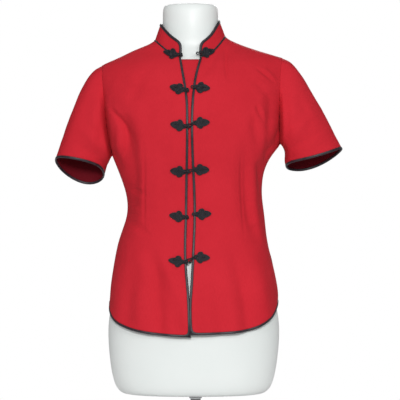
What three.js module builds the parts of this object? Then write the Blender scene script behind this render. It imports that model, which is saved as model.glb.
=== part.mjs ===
// A short-sleeved Chinese blouse, the top form of a cheongsam, worn by a limbless dress form on a counter stand.
// Millimetres, +Z up. The garment faces -Y and the wearer's left is +X. The origin is the centre of the base's
// underside. Every cloth piece is a sheet of patches on one body surface, given its thickness inwards, and
// every binding follows the true outline of its sheet, with the cloth held back to make room for it.
import * as THREE from 'three';

// ---------------------------------------------------------------- driving dimensions
const WALL = 1.6;               // cloth with its facing
const SEAM_GAP = 0.3;           // between the pieces at a seam
const BINDING = 4.5;            // visible width of the satin binding
const NECK_CORD = 1.5;          // radius of the piping in the neck seam
const CHEST_Z = 630;            // height at which the panels' upper rows begin
const UNDERARM = { right: 604, left: 627 };
const GARMENT_SHIFT = -6;       // the form stands a little off the pole's line
const TURN = Math.PI / 180;

// Outer surface of the cloth on the body: half widths to the wearer's right and left, depths to the front and
// back, and the power of the superellipse that joins them. From 781 up, the half widths are the shoulder line.
const CLOTH_BODY = [
  { z: 235, right: 169, left: 173, front: 117, back: 120, power: 2.35 },
  { z: 270, right: 168, left: 172, front: 115, back: 118, power: 2.35 },
  { z: 300, right: 165, left: 170, front: 113, back: 117, power: 2.35 },
  { z: 320, right: 162, left: 168, front: 112, back: 116, power: 2.35 },
  { z: 345, right: 161, left: 167, front: 110, back: 114, power: 2.35 },
  { z: 381, right: 156, left: 160, front: 108, back: 108, power: 2.3 },
  { z: 440, right: 144.5, left: 146, front: 102, back: 95, power: 2.3 },
  { z: 489, right: 127.5, left: 141, front: 97, back: 86, power: 2.3 },
  { z: 530, right: 129.5, left: 135.5, front: 98, back: 87, power: 2.3 },
  { z: 577, right: 146, left: 140, front: 106, back: 91, power: 2.3 },
  { z: 604, right: 157, left: 153, front: 112, back: 94, power: 2.3 },
  { z: 625, right: 167, left: 171, front: 117, back: 97, power: 2.3 },
  { z: 665, right: 178, left: 180, front: 121, back: 101, power: 2.3 },
  { z: 705, right: 184, left: 185, front: 115, back: 104, power: 2.3 },
  { z: 740, right: 187, left: 188, front: 101, back: 101, power: 2.3 },
  { z: 765, right: 187, left: 190, front: 87, back: 94, power: 2.2 },
  { z: 782, right: 177, left: 189, front: 74, back: 88, power: 2.2 },
  { z: 793, right: 153, left: 186, front: 64, back: 82, power: 2.2 },
  { z: 802, right: 134, left: 158, front: 55, back: 78, power: 2.2 },
  { z: 812, right: 113.5, left: 125, front: 48, back: 73, power: 2.2 },
  { z: 822, right: 88, left: 96, front: 42, back: 67, power: 2.2 },
  { z: 830, right: 75, left: 77, front: 39, back: 63, power: 2.2 },
  { z: 837, right: 67, left: 66, front: 38, back: 59, power: 2.2 },
  { z: 850, right: 61, left: 59, front: 38, back: 55, power: 2.2 },
];

// The dress form under it, in the same columns.
const FORM_BODY = [
  { z: 140, right: 130, left: 134, front: 82, back: 84, power: 2.4 },
  { z: 143, right: 140, left: 143, front: 90, back: 92, power: 2.4 },
  { z: 151, right: 149, left: 153, front: 95, back: 98, power: 2.4 },
  { z: 168, right: 156, left: 160, front: 98, back: 101, power: 2.4 },
  { z: 200, right: 162, left: 166.5, front: 100, back: 104, power: 2.35 },
  { z: 250, right: 166.5, left: 171.5, front: 100, back: 106, power: 2.35 },
  { z: 285, right: 165, left: 170.5, front: 99, back: 107, power: 2.35 },
  { z: 310, right: 160, left: 165, front: 98, back: 106, power: 2.35 },
  { z: 340, right: 155, left: 159, front: 97, back: 104, power: 2.35 },
  { z: 381, right: 149, left: 151, front: 93, back: 98, power: 2.3 },
  { z: 440, right: 136, left: 139, front: 85, back: 84, power: 2.3 },
  { z: 489, right: 121, left: 130, front: 78, back: 75, power: 2.3 },
  { z: 530, right: 121, left: 125, front: 81, back: 77, power: 2.3 },
  { z: 577, right: 133, left: 130, front: 93, back: 83, power: 2.3 },
  { z: 625, right: 147, left: 148, front: 106, back: 90, power: 2.3 },
  { z: 665, right: 155, left: 157, front: 111, back: 95, power: 2.3 },
  { z: 705, right: 160, left: 162, front: 106, back: 97, power: 2.3 },
  { z: 740, right: 163, left: 165, front: 93, back: 94, power: 2.3 },
  { z: 765, right: 162, left: 168, front: 80, back: 88, power: 2.2 },
  { z: 776, right: 158, left: 168, front: 71, back: 83, power: 2.2 },
  { z: 788, right: 137, left: 163, front: 61, back: 77, power: 2.2 },
  { z: 797, right: 117, left: 139, front: 53, back: 72, power: 2.2 },
  { z: 807, right: 99, left: 110, front: 46, back: 67, power: 2.2 },
  { z: 817, right: 81, left: 83, front: 43, back: 62, power: 2.2 },
  { z: 827, right: 67, left: 65, front: 43, back: 57, power: 2.1 },
  { z: 840, right: 61, left: 55, front: 44, back: 53, power: 2 },
  { z: 862, right: 58, left: 50, front: 46, back: 51, power: 2 },
  { z: 885, right: 59, left: 51, front: 46, back: 51, power: 2 },
  { z: 896, right: 57, left: 49, front: 44, back: 49, power: 2 },
  { z: 901, right: 52, left: 44, front: 39, back: 44, power: 2 },
];

// Edges of the front opening: the outer edge of each binding, and how far it stands from the centre line.
const OPENING = [
  { z: 235, right: -2.2, left: -1.0 },
  { z: 262, right: -3.0, left: -1.0 },
  { z: 300, right: -4.2, left: -2.8 },
  { z: 322, right: -4.8, left: -2.8 },
  { z: 345, right: -6.4, left: -2.8 },
  { z: 395, right: -11, left: -2.4 },
  { z: 440, right: -11.5, left: 1 },
  { z: 489, right: -9.8, left: 2.6 },
  { z: 540, right: -9.2, left: 1.6 },
  { z: 600, right: -8, left: -1.4 },
  { z: 665, right: -7.4, left: -2.6 },
  { z: 712, right: -8.6, left: -0.8 },
  { z: 760, right: -16, left: 5.2 },
  { z: 793, right: -22, left: 14.8 },
  { z: 815, right: -24, left: 17 },
];

// Hem of the fronts and of the back: its height against the turn from the centre line to the side seam.
const FRONT_HEM = [
  { turn: 0, right: 257, left: 261.5 },
  { turn: 22, right: 262, left: 264 },
  { turn: 38, right: 268, left: 269 },
  { turn: 50, right: 275, left: 278 },
  { turn: 60, right: 282, left: 289 },
  { turn: 68, right: 290, left: 299 },
  { turn: 78, right: 302, left: 309 },
  { turn: 90, right: 318, left: 320 },
];
const BACK_HEM = [
  { turn: 0, right: 252, left: 252 },
  { turn: 30, right: 255, left: 256 },
  { turn: 50, right: 267, left: 270 },
  { turn: 65, right: 284, left: 287 },
  { turn: 78, right: 302, left: 305 },
  { turn: 90, right: 318, left: 320 },
];

// Armhole in the front view: how far the seam stands from the centre line, at each height.
const SHOULDER_TIP = { right: { x: 177, z: 782 }, left: { x: 176, z: 797 } };
const ARMHOLE = [
  { rise: 0, right: 157, left: 171 },
  { rise: 0.12, right: 160.5, left: 169.6 },
  { rise: 0.3, right: 166, left: 168.6 },
  { rise: 0.6, right: 171, left: 168.8 },
  { rise: 0.85, right: 175, left: 171 },
  { rise: 1, right: 177, left: 176 },
];

// Neck seam and collar in plan, about the wearer's neck.
const NECK_SEAM = { right: 74.5, left: 65.5, front: 65, back: 60, rightEnd: 17.2, leftEnd: 13 };
const COLLAR_TOP = { right: 62.8, left: 53, front: 60, back: 56.5 };
const COLLAR = { sideHeight: 33, frontHeight: 30, backHeight: 36, endHeight: 15, corner: 15 };

// Sleeves: the cuff's centre, its outward and forward half axes, and how far it sags at front and back. The
// cloth leaves the armhole along the cap's pull over the shoulder and the under pull below the arm, outwards
// and upwards, and the puff rounds the head of the sleeve.
const SLEEVES = {
  right: {
    centre: [-221.5, 3, 581.5], outward: [-47.5, 0, 9], forward: [-7, -47, 23.5], sag: 8,
    cap: [42.4, -4.7], puff: [4.8, 3.4], under: [8, -20],
  },
  left: {
    centre: [239, 3, 601], outward: [56, 0, 16], forward: [5, -48, 12], sag: 10,
    cap: [29.8, 8.8], puff: [8.1, -3], under: [22, -22],
  },
};
const SLEEVE_PULL = { aside: 12, end: 63 };

// Largest folds of the body cloth: from one place to another on the front (face -1) or the back (face 1),
// with the half width of the fold and how far it stands out, or in where it is negative.
const FOLDS = [
  { face: -1, from: [-176, 694], to: [-118, 632], width: 13, depth: -4 },
  { face: -1, from: [-158, 676], to: [-128, 616], width: 10, depth: 2.5 },
  { face: -1, from: [-74, 402], to: [-62, 322], width: 13, depth: -4.5 },
  { face: -1, from: [-48, 384], to: [-24, 322], width: 12, depth: 2.5 },
  { face: -1, from: [86, 398], to: [106, 300], width: 14, depth: -5.5 },
  { face: -1, from: [118, 390], to: [140, 318], width: 15, depth: 3 },
  { face: -1, from: [152, 736], to: [140, 660], width: 12, depth: -4 },
  { face: -1, from: [66, 806], to: [68, 758], width: 7, depth: -2 },
  { face: 1, from: [-92, 392], to: [-108, 306], width: 15, depth: -5 },
  { face: 1, from: [40, 380], to: [52, 300], width: 14, depth: -4 },
  { face: 1, from: [104, 396], to: [124, 312], width: 13, depth: 3 },
  { face: 1, from: [150, 690], to: [112, 640], width: 13, depth: -3.5 },
  { face: 1, from: [-150, 692], to: [-108, 644], width: 13, depth: -3.5 },
];

// Frogs from the neck down: heights of the wearer's right and left leaf, the right leaf's inner end and the
// left leaf's inner end from the centre line, and whether the loop is over the knot.
const FROGS = [
  { name: 'frog_1', rightZ: 797, leftZ: 799, rightX: -27, leftX: 19, closed: false },
  { name: 'frog_2', rightZ: 728, leftZ: 731.5, rightX: -15.5, leftX: 7.5, closed: false },
  { name: 'frog_3', rightZ: 661.5, leftZ: 667, rightX: -14.5, leftX: 4.5, closed: true },
  { name: 'frog_4', rightZ: 573.5, leftZ: 579, rightX: -14.5, leftX: 6, closed: true },
  { name: 'frog_5', rightZ: 486.5, leftZ: 492.5, rightX: -15.5, leftX: 6.5, closed: false },
  { name: 'frog_6', rightZ: 402, leftZ: 412, rightX: -17, leftX: 6, closed: true },
];
const LEAF = { thickness: 2.6, lift: 1.3, tilt: 3 };
// Half outline of a leaf from its inner end outwards, mirrored below.
const LEAF_OUTLINE = [
  { along: 0, across: 2.6 },
  { along: 5, across: 7.4 },
  { along: 10, across: 9.8 },
  { along: 13.5, across: 12.4 },
  { along: 18, across: 10.6 },
  { along: 23, across: 8.8 },
  { along: 27.5, across: 5.6 },
];
const LEAF_TIP = 29.5;
const KNOT = { radius: 3.9, neck: 1.4, reach: 5.4 };
const LOOP_CORD = 1.15;

// The strip behind the opening.
const UNDERLAP = { bottom: 402, top: 791, right: -31, left: 24, behind: WALL + 1.6, columns: 4, rows: 13 };

// The stand under the form.
const POLE = { radius: 10, bottom: 14, top: 196, segments: 24 };
const FERRULE = { radius: 12.5, bottom: 130, top: 139.6 };
const BASE = { radius: 150, rim: 7, dome: 10, bossRadius: 24, bossTop: 26, segments: 48 };
const SOCKET_CLEARANCE = 0.4;

// How finely each piece is divided.
const GRID = { across: 11, lower: 12, edge: 8, neck: 6, sleeve: 8, form: 30 };

// ---------------------------------------------------------------- materials
const finish = (color, roughness, metalness = 0) =>
  new THREE.MeshStandardMaterial({ color, roughness, metalness });
const RED_CREPE = finish(0xc52c38, 0.72);
const SATIN = finish(0x3a363c, 0.42);
const FROG_CORD = finish(0x2a2a30, 0.55);
const WHITE_FORM = finish(0xe6ecea, 0.5);
const CHROME = finish(0xb9bcc0, 0.22, 1);

const part = new THREE.Group();
// Everything above the pole is built about its own centre line, and moved off the pole's line here.
let shift = GARMENT_SHIFT;
function addPiece(name, geometry, material) {
  const mesh = new THREE.Mesh(geometry.translate(shift, 0, 0), material);
  mesh.name = name;
  part.add(mesh);
}

// ---------------------------------------------------------------- tables and the body surface
// Smooth value of a table's column at a place, with slopes taken across the neighbouring rows.
function readTable(table, key, column, place) {
  const last = table.length - 1;
  const at = THREE.MathUtils.clamp(place, table[0][key], table[last][key]);
  let i = 0;
  while (i < last - 1 && table[i + 1][key] < at) i += 1;
  const slope = (k) => {
    const before = table[Math.max(k - 1, 0)];
    const after = table[Math.min(k + 1, last)];
    return (after[column] - before[column]) / (after[key] - before[key]);
  };
  const span = table[i + 1][key] - table[i][key];
  const t = (at - table[i][key]) / span;
  const rise = t * t * (3 - 2 * t);
  const start = t * (1 - t) * (1 - t) * span * slope(i);
  const end = t * t * (t - 1) * span * slope(i + 1);
  return table[i][column] * (1 - rise) + table[i + 1][column] * rise + start + end;
}

function sectionAt(body, z) {
  const read = (column) => readTable(body, 'z', column, z);
  return { right: read('right'), left: read('left'), front: read('front'), back: read('back'), power: read('power') };
}

const halfWidth = (section, x) => (x < 0 ? section.right : section.left);
const depthOf = (section, face) => (face < 0 ? section.front : section.back);

// Depth of a fold table at a place on one face of the cloth.
function foldDepth(face, x, z) {
  let depth = 0;
  for (const fold of FOLDS) {
    if (fold.face !== face) continue;
    const run = [fold.to[0] - fold.from[0], fold.to[1] - fold.from[1]];
    const length = Math.hypot(...run);
    const along = ((x - fold.from[0]) * run[0] + (z - fold.from[1]) * run[1]) / (length * length);
    const aside = ((x - fold.from[0]) * run[1] - (z - fold.from[1]) * run[0]) / length;
    const ends = Math.sin(Math.PI * THREE.MathUtils.clamp(along * 0.8 + 0.1, 0, 1));
    depth += fold.depth * Math.exp(-((aside / fold.width) ** 2)) * (along > -0.125 && along < 1.125 ? ends : 0);
  }
  return depth;
}

// A point of a body from the turn about +Z, in degrees from the front towards the wearer's left.
function bodyPoint(body, turn, z, folded = false) {
  const section = sectionAt(body, z);
  const across = Math.sin(turn * TURN);
  const ahead = -Math.cos(turn * TURN);
  const face = ahead < 0 ? -1 : 1;
  const reach = 2 / section.power;
  const x = Math.sign(across) * Math.abs(across) ** reach * halfWidth(section, across);
  const depth = depthOf(section, face) + (folded ? foldDepth(face, x, z) : 0);
  return new THREE.Vector3(x, face * Math.abs(ahead) ** reach * depth, z);
}

// The turn at which a body stands a given distance from the centre line.
function turnAt(body, x, z) {
  const section = sectionAt(body, z);
  const share = THREE.MathUtils.clamp(Math.abs(x) / halfWidth(section, x), 0, 1);
  return (Math.sign(x) * Math.asin(share ** (section.power / 2))) / TURN;
}

// The neck seam's height: where an upright line over a place in plan leaves the body.
function heightOver(x, y) {
  let low = 780;
  let high = 850;
  for (let step = 0; step < 40; step += 1) {
    const middle = (low + high) / 2;
    const section = sectionAt(CLOTH_BODY, middle);
    const sum = (Math.abs(x) / halfWidth(section, x)) ** section.power
      + (Math.abs(y) / depthOf(section, Math.sign(y) || 1)) ** section.power;
    if (sum < 1) low = middle;
    else high = middle;
  }
  return (low + high) / 2;
}

const planPoint = (ring, turn) => [
  Math.sin(turn * TURN) * (turn < 0 ? ring.right : ring.left),
  -Math.cos(turn * TURN) * (Math.abs(turn) < 90 ? ring.front : ring.back),
];

// A neck seam point, with its turn in plan and its turn on the body.
function neckSeam(planTurn) {
  const [x, y] = planPoint(NECK_SEAM, planTurn);
  const z = heightOver(x, y);
  const turn = turnAt(CLOTH_BODY, x, z);
  return { turn: Math.abs(planTurn) > 90 ? Math.sign(planTurn) * 180 - turn : turn, z };
}

// ---------------------------------------------------------------- sheets of cloth
// A sheet is made of patches, each a grid of { point, labels }. Points that two patches share are welded.
// Its rim keeps a label for each outline edge, and insets from the rim are asked for by label.
function makeSheet(patches) {
  const sheet = { points: [], labels: [], triangles: [], normals: [] };
  const known = new Map();
  const indexOf = ({ point, labels }) => {
    const key = point.toArray().map((value) => Math.round(value * 100)).join();
    if (!known.has(key)) {
      known.set(key, sheet.points.length);
      sheet.points.push(point.clone());
      sheet.labels.push(new Set());
    }
    const index = known.get(key);
    for (const label of labels) sheet.labels[index].add(label);
    return index;
  };
  const addTriangle = (a, b, c) => {
    if (a !== b && b !== c && c !== a) sheet.triangles.push([a, b, c]);
  };
  for (const { grid, flip } of patches) {
    const indices = grid.map((row) => row.map(indexOf));
    for (let i = 1; i < indices.length; i += 1) {
      for (let j = 1; j < indices[i].length; j += 1) {
        const corners = [indices[i - 1][j - 1], indices[i - 1][j], indices[i][j], indices[i][j - 1]];
        if (flip) corners.reverse();
        const [a, b, c, d] = corners;
        const one = sheet.points[a].distanceTo(sheet.points[c]);
        const other = sheet.points[b].distanceTo(sheet.points[d]);
        if (one <= other) {
          addTriangle(a, b, c);
          addTriangle(a, c, d);
        } else {
          addTriangle(a, b, d);
          addTriangle(b, c, d);
        }
      }
    }
  }
  sheet.normals = sheet.points.map(() => new THREE.Vector3());
  const edges = new Map();
  for (const [a, b, c] of sheet.triangles) {
    const normal = new THREE.Vector3().crossVectors(
      sheet.points[b].clone().sub(sheet.points[a]),
      sheet.points[c].clone().sub(sheet.points[a]),
    );
    for (const index of [a, b, c]) sheet.normals[index].add(normal);
    for (const [from, to] of [[a, b], [b, c], [c, a]]) edges.set(`${from},${to}`, [from, to]);
  }
  sheet.normals.forEach((normal, index) => {
    // side and shoulder seams lie in the plane y = 0, and both panels share the direction out of it
    if (sheet.labels[index].has('side') || sheet.labels[index].has('shoulder')) normal.y = 0;
    normal.normalize();
  });
  sheet.next = new Map();
  sheet.previous = new Map();
  for (const [from, to] of edges.values()) {
    if (edges.has(`${to},${from}`)) continue;
    sheet.next.set(from, to);
    sheet.previous.set(to, from);
  }
  return sheet;
}

// How far a rim point moves into the sheet, when each labelled outline is moved in by its own distance.
function insetAt(sheet, index, distances) {
  const inward = (from, to) => {
    const run = sheet.points[to].clone().sub(sheet.points[from]);
    return new THREE.Vector3().crossVectors(sheet.normals[index], run).normalize();
  };
  const distance = (from, to) => {
    const shared = [...sheet.labels[from]].filter((label) => sheet.labels[to].has(label));
    return distances[shared[0]];
  };
  const before = sheet.previous.get(index);
  const after = sheet.next.get(index);
  const a = inward(before, index);
  const b = inward(index, after);
  const da = distance(before, index);
  const db = distance(index, after);
  const cosine = a.dot(b);
  if (cosine > 0.985) return a.add(b).normalize().multiplyScalar((da + db) / 2);
  const scale = 1 / (1 - cosine * cosine);
  return a.multiplyScalar((da - cosine * db) * scale).add(b.multiplyScalar((db - cosine * da) * scale));
}

// A closed solid from points and triangles, turned the right way out.
function closedSolid(points, triangles) {
  let volume = 0;
  for (const [a, b, c] of triangles) {
    volume += points[a].dot(new THREE.Vector3().crossVectors(points[b], points[c]));
  }
  const positions = [];
  for (const [a, b, c] of triangles) {
    for (const index of volume > 0 ? [a, b, c] : [a, c, b]) positions.push(...points[index].toArray());
  }
  const geometry = new THREE.BufferGeometry();
  geometry.setAttribute('position', new THREE.Float32BufferAttribute(positions, 3));
  geometry.computeVertexNormals();
  return geometry;
}

// The sheet with its rim moved in by label, and its thickness given inwards.
function wallGeometry(sheet, distances, { lift = 0, thickness = WALL } = {}) {
  const count = sheet.points.length;
  const outer = sheet.points.map((point, index) => {
    const moved = point.clone().addScaledVector(sheet.normals[index], lift);
    return sheet.next.has(index) ? moved.add(insetAt(sheet, index, distances)) : moved;
  });
  const inner = outer.map((point, index) => point.clone().addScaledVector(sheet.normals[index], -thickness));
  const triangles = [...sheet.triangles];
  for (const [a, b, c] of sheet.triangles) triangles.push([a + count, c + count, b + count]);
  for (const [from, to] of sheet.next) {
    triangles.push([to, from, from + count], [to, from + count, to + count]);
  }
  return closedSolid([...outer, ...inner], triangles);
}

// Rings of equal count joined into a solid, closed on itself or with a fan over each end.
function skin(rings, { loop = false } = {}) {
  const points = rings.flat();
  const count = rings[0].length;
  const triangles = [];
  const spans = loop ? rings.length : rings.length - 1;
  for (let i = 0; i < spans; i += 1) {
    const here = i * count;
    const there = ((i + 1) % rings.length) * count;
    for (let j = 0; j < count; j += 1) {
      const k = (j + 1) % count;
      triangles.push([here + j, here + k, there + k], [here + j, there + k, there + j]);
    }
  }
  if (!loop) {
    const ends = [[0, (a, b, c) => [a, c, b]], [rings.length - 1, (a, b, c) => [a, b, c]]];
    for (const [ring, order] of ends) {
      const centre = new THREE.Vector3();
      for (const point of rings[ring]) centre.addScaledVector(point, 1 / count);
      points.push(centre);
      for (let j = 0; j < count; j += 1) {
        triangles.push(order(points.length - 1, ring * count + j, ring * count + ((j + 1) % count)));
      }
    }
  }
  return closedSolid(points, triangles);
}

// Section of the satin binding: distance in from the outline, and height over the cloth's outer face.
const BINDING_SECTION = [
  { inset: 0, height: -1.7 },
  { inset: 0, height: 0.1 },
  { inset: 1.4, height: 0.9 },
  { inset: BINDING, height: 0.6 },
  { inset: BINDING, height: -WALL - 0.5 },
];
const HOLD_BACK = BINDING + SEAM_GAP;
const SEAM = SEAM_GAP / 2;
const NECK_HOLD_BACK = NECK_CORD + SEAM_GAP;

// The rim of a sheet in order, from where the wanted labels begin to where they end.
function rimPath(sheet, wanted) {
  const isWanted = (from, to) => wanted.some((label) => sheet.labels[from].has(label) && sheet.labels[to].has(label));
  const starts = [...sheet.next.keys()].filter((index) => isWanted(index, sheet.next.get(index)));
  const first = starts.find((index) => !isWanted(sheet.previous.get(index), index));
  const path = [first ?? starts[0]];
  for (;;) {
    const last = path[path.length - 1];
    const following = sheet.next.get(last);
    if (!isWanted(last, following)) break;
    if (following === path[0]) return { path, loop: true };
    path.push(following);
  }
  return { path, loop: false };
}

function bindingGeometry(sheet, bound, others) {
  const { path, loop } = rimPath(sheet, bound);
  const rings = path.map((index) => BINDING_SECTION.map(({ inset, height }) => {
    const distances = { ...others };
    for (const label of bound) distances[label] = inset;
    return sheet.points[index].clone()
      .addScaledVector(sheet.normals[index], height)
      .add(insetAt(sheet, index, distances));
  }));
  return skin(rings, { loop });
}

// ---------------------------------------------------------------- body panels
const hemHeight = (hem, side, turn) => readTable(hem, 'turn', side, Math.abs(turn));

// The armhole at a rise from the underarm to the shoulder tip, on the front or the back.
function armhole(side, rise, back) {
  const sign = side === 'right' ? -1 : 1;
  const tip = SHOULDER_TIP[side];
  const z = UNDERARM[side] + (tip.z - UNDERARM[side]) * rise;
  const x = readTable(ARMHOLE, 'rise', side, rise);
  const ends = rise === 0 || rise >= 1;
  const turn = ends ? sign * 90 : turnAt(CLOTH_BODY, sign * Math.min(x, sectionAt(CLOTH_BODY, z)[side] * 0.999), z);
  return { turn: back ? sign * 180 - turn : turn, z };
}

// Shares of the armhole's rise at each row, closer together near both ends where it turns.
const RISES = Array.from({ length: GRID.edge + GRID.neck + 1 }, (_, row) => {
  const t = row / (GRID.edge + GRID.neck);
  return 0.45 * t + 0.55 * (1 - Math.cos(Math.PI * t)) / 2;
});

// One quarter of the body: a front, or half of the back. Its inner line is the opening or the centre back,
// then the neck seam; its outer line is the side seam, then the armhole.
function bodyQuarter(side, back) {
  const sign = side === 'right' ? -1 : 1;
  const hem = back ? BACK_HEM : FRONT_HEM;
  const middle = back ? sign * 180 : 0;
  const seamTurn = sign * 90;
  const innerTurn = (z) => (back ? middle : turnAt(CLOTH_BODY, readTable(OPENING, 'z', side, z), z));
  const at = (turn, z) => bodyPoint(CLOTH_BODY, turn, z, true);
  const innerLabel = back ? [] : ['edge'];
  const across = Array.from({ length: GRID.across + 1 }, (_, j) => j / GRID.across);

  const lower = [];
  for (let i = 0; i <= GRID.lower; i += 1) {
    const share = i / GRID.lower;
    const heightAt = (u) => {
      const hemTurn = middle + (seamTurn - middle) * u;
      const bottom = hemHeight(hem, side, back ? 180 - Math.abs(hemTurn) : hemTurn);
      const top = CHEST_Z + (UNDERARM[side] - CHEST_Z) * u;
      return bottom + (top - bottom) * share;
    };
    const rowTurn = innerTurn(heightAt(0));
    lower.push(across.map((u) => {
      const z = heightAt(u);
      const turn = rowTurn + (seamTurn - rowTurn) * u;
      const labels = [];
      if (i === 0) labels.push('hem');
      if (u === 0) labels.push(...innerLabel);
      if (u === 1) labels.push('side');
      return { point: at(turn, z), labels };
    }));
  }

  const neckEnd = back ? sign * 180 : sign * NECK_SEAM[`${side}End`];
  const corner = neckSeam(neckEnd);
  const upper = RISES.map((rise, row) => {
    const outer = armhole(side, rise, back);
    let inner;
    const labels = [];
    if (row <= GRID.edge) {
      const z = CHEST_Z + (corner.z - CHEST_Z) * (row / GRID.edge);
      inner = { turn: row === GRID.edge ? corner.turn : innerTurn(z), z };
      labels.push(...innerLabel);
    }
    if (row >= GRID.edge) {
      const share = (row - GRID.edge) / GRID.neck;
      if (row > GRID.edge) inner = neckSeam(neckEnd + (seamTurn - neckEnd) * share);
      labels.push('neck');
    }
    if (row === RISES.length - 1) inner.turn = seamTurn;
    return across.map((u) => {
      const own = [];
      if (u === 0) own.push(...labels);
      if (u === 1) own.push('armhole');
      if (row === 0 && u === 1) own.push('side');
      if (row === RISES.length - 1) own.push('shoulder');
      const turn = inner.turn + (outer.turn - inner.turn) * u;
      return { point: at(turn, inner.z + (outer.z - inner.z) * u), labels: own };
    });
  });
  const flip = (side === 'right') !== back;
  return [{ grid: lower, flip }, { grid: upper, flip }];
}

const BODY_INSETS = {
  edge: HOLD_BACK, hem: HOLD_BACK, side: SEAM, armhole: SEAM, shoulder: SEAM, neck: NECK_HOLD_BACK,
};

function addBody() {
  for (const side of ['right', 'left']) {
    const front = makeSheet(bodyQuarter(side, false));
    addPiece(`front_${side}`, wallGeometry(front, BODY_INSETS), RED_CREPE);
    addPiece(`front_binding_${side}`, bindingGeometry(front, ['edge', 'hem'], BODY_INSETS), SATIN);
  }
  const back = makeSheet([...bodyQuarter('right', true), ...bodyQuarter('left', true)]);
  addPiece('back', wallGeometry(back, BODY_INSETS), RED_CREPE);
  addPiece('back_binding', bindingGeometry(back, ['hem'], BODY_INSETS), SATIN);
}

// ---------------------------------------------------------------- sleeves
// Each sleeve runs from the body's own armhole points to its cuff along curves that leave the shoulder
// outwards and reach the cuff along the arm.
function sleeveSheet(side) {
  const sign = side === 'right' ? -1 : 1;
  const size = SLEEVES[side];
  const ring = [];
  const rows = RISES.length - 1;
  for (let i = rows; i > 0; i -= 1) ring.push({ ...armhole(side, RISES[i], false), share: RISES[i], face: -1 });
  for (let i = 0; i <= rows; i += 1) ring.push({ ...armhole(side, RISES[i], true), share: RISES[i], face: 1 });
  const centre = new THREE.Vector3(...size.centre);
  const outward = new THREE.Vector3(...size.outward);
  const forward = new THREE.Vector3(...size.forward);
  const shoulder = new THREE.Vector3(sign * 172, 0, 708);
  const arm = centre.clone().sub(shoulder).normalize();
  const columns = ring.map(({ turn, z, share, face }) => {
    const start = bodyPoint(CLOTH_BODY, turn, z, true);
    // the turn about the arm: 0 over the shoulder, a half turn under the arm
    const about = Math.acos(THREE.MathUtils.clamp(2 * share - 1, -1, 1));
    const aside = Math.sin(about) * -face;
    const end = centre.clone()
      .addScaledVector(outward, Math.cos(about))
      .addScaledVector(forward, aside)
      .add(new THREE.Vector3(0, 0, -size.sag * aside * aside));
    const pull = [0, 1].map((k) => size.under[k] + (size.cap[k] - size.under[k]) * share);
    const leave = new THREE.Vector3(sign * pull[0], -SLEEVE_PULL.aside * aside, pull[1]);
    const puff = new THREE.Vector3(sign * size.puff[0], 0, size.puff[1]).multiplyScalar(share ** 3);
    return { start, leave, puff, end };
  });
  const grid = [];
  for (let i = 0; i <= GRID.sleeve; i += 1) {
    const t = i / GRID.sleeve;
    const s = t * (0.75 + 0.25 * t);
    const rise = s * s * (3 - 2 * s);
    grid.push(columns.map(({ start, leave, puff, end }) => {
      const point = start.clone().multiplyScalar(1 - rise).addScaledVector(end, rise)
        .addScaledVector(leave, s * (1 - s) ** 2 * 3)
        .addScaledVector(puff, s * (1 - s) ** 6 * 7)
        .addScaledVector(arm, s * s * (s - 1) * SLEEVE_PULL.end);
      return { point, labels: i === 0 ? ['armhole'] : i === GRID.sleeve ? ['cuff'] : [] };
    }));
  }
  return makeSheet([{ grid, flip: side === 'right' }]);
}

function addSleeves() {
  for (const side of ['right', 'left']) {
    const sheet = sleeveSheet(side);
    const insets = { armhole: SEAM, cuff: HOLD_BACK };
    addPiece(`sleeve_${side}`, wallGeometry(sheet, insets), RED_CREPE);
    addPiece(`cuff_binding_${side}`, bindingGeometry(sheet, ['cuff'], insets), SATIN);
  }
}

// ---------------------------------------------------------------- collar and neck seam
// Neck seam turns that the front and back panels use, so that cord and panels share their points.
function seamTurns() {
  const quarter = (from, to) => Array.from({ length: GRID.neck }, (_, i) => from + ((to - from) * i) / GRID.neck);
  return [
    ...quarter(-NECK_SEAM.rightEnd, -90), ...quarter(-90, -180), ...quarter(180, 90),
    ...quarter(90, NECK_SEAM.leftEnd), NECK_SEAM.leftEnd,
  ];
}

const seamPoint = (turn) => {
  const place = neckSeam(turn);
  return bodyPoint(CLOTH_BODY, place.turn, place.z, true);
};

// A place on the collar: a distance along its seam from one end, and a height up the wall over it.
function collarPoint(seam, turns, distance, height) {
  let i = 0;
  let left = distance;
  while (i < seam.length - 2 && left > seam[i].distanceTo(seam[i + 1])) {
    left -= seam[i].distanceTo(seam[i + 1]);
    i += 1;
  }
  const share = left / seam[i].distanceTo(seam[i + 1]);
  const foot = seam[i].clone().lerp(seam[i + 1], share);
  const sine = Math.sin(turns[i] * TURN) * (1 - share) + Math.sin(turns[i + 1] * TURN) * share;
  const cosine = Math.cos(turns[i] * TURN) * (1 - share) + Math.cos(turns[i + 1] * TURN) * share;
  const [x, y] = planPoint(COLLAR_TOP, Math.atan2(sine, cosine) / TURN);
  const lean = height / COLLAR.sideHeight;
  return new THREE.Vector3(foot.x + (x - foot.x) * lean, foot.y + (y - foot.y) * lean, foot.z + height);
}

// The collar's outline round its front corner, as a distance from the end and a height.
const roundCorner = (share) => ({
  aside: COLLAR.corner * (1 - Math.cos(share * 90 * TURN)),
  height: COLLAR.endHeight + (COLLAR.frontHeight - COLLAR.endHeight) * Math.sin(share * 90 * TURN),
});
const COLLAR_END = [{ aside: 0, height: 0 }, { aside: 0, height: 10 }, roundCorner(0.25), roundCorner(0.5)];
const COLLAR_CORNER = [{ foot: 7, top: roundCorner(0.72) }, { foot: 12, top: roundCorner(0.93) }];

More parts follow.
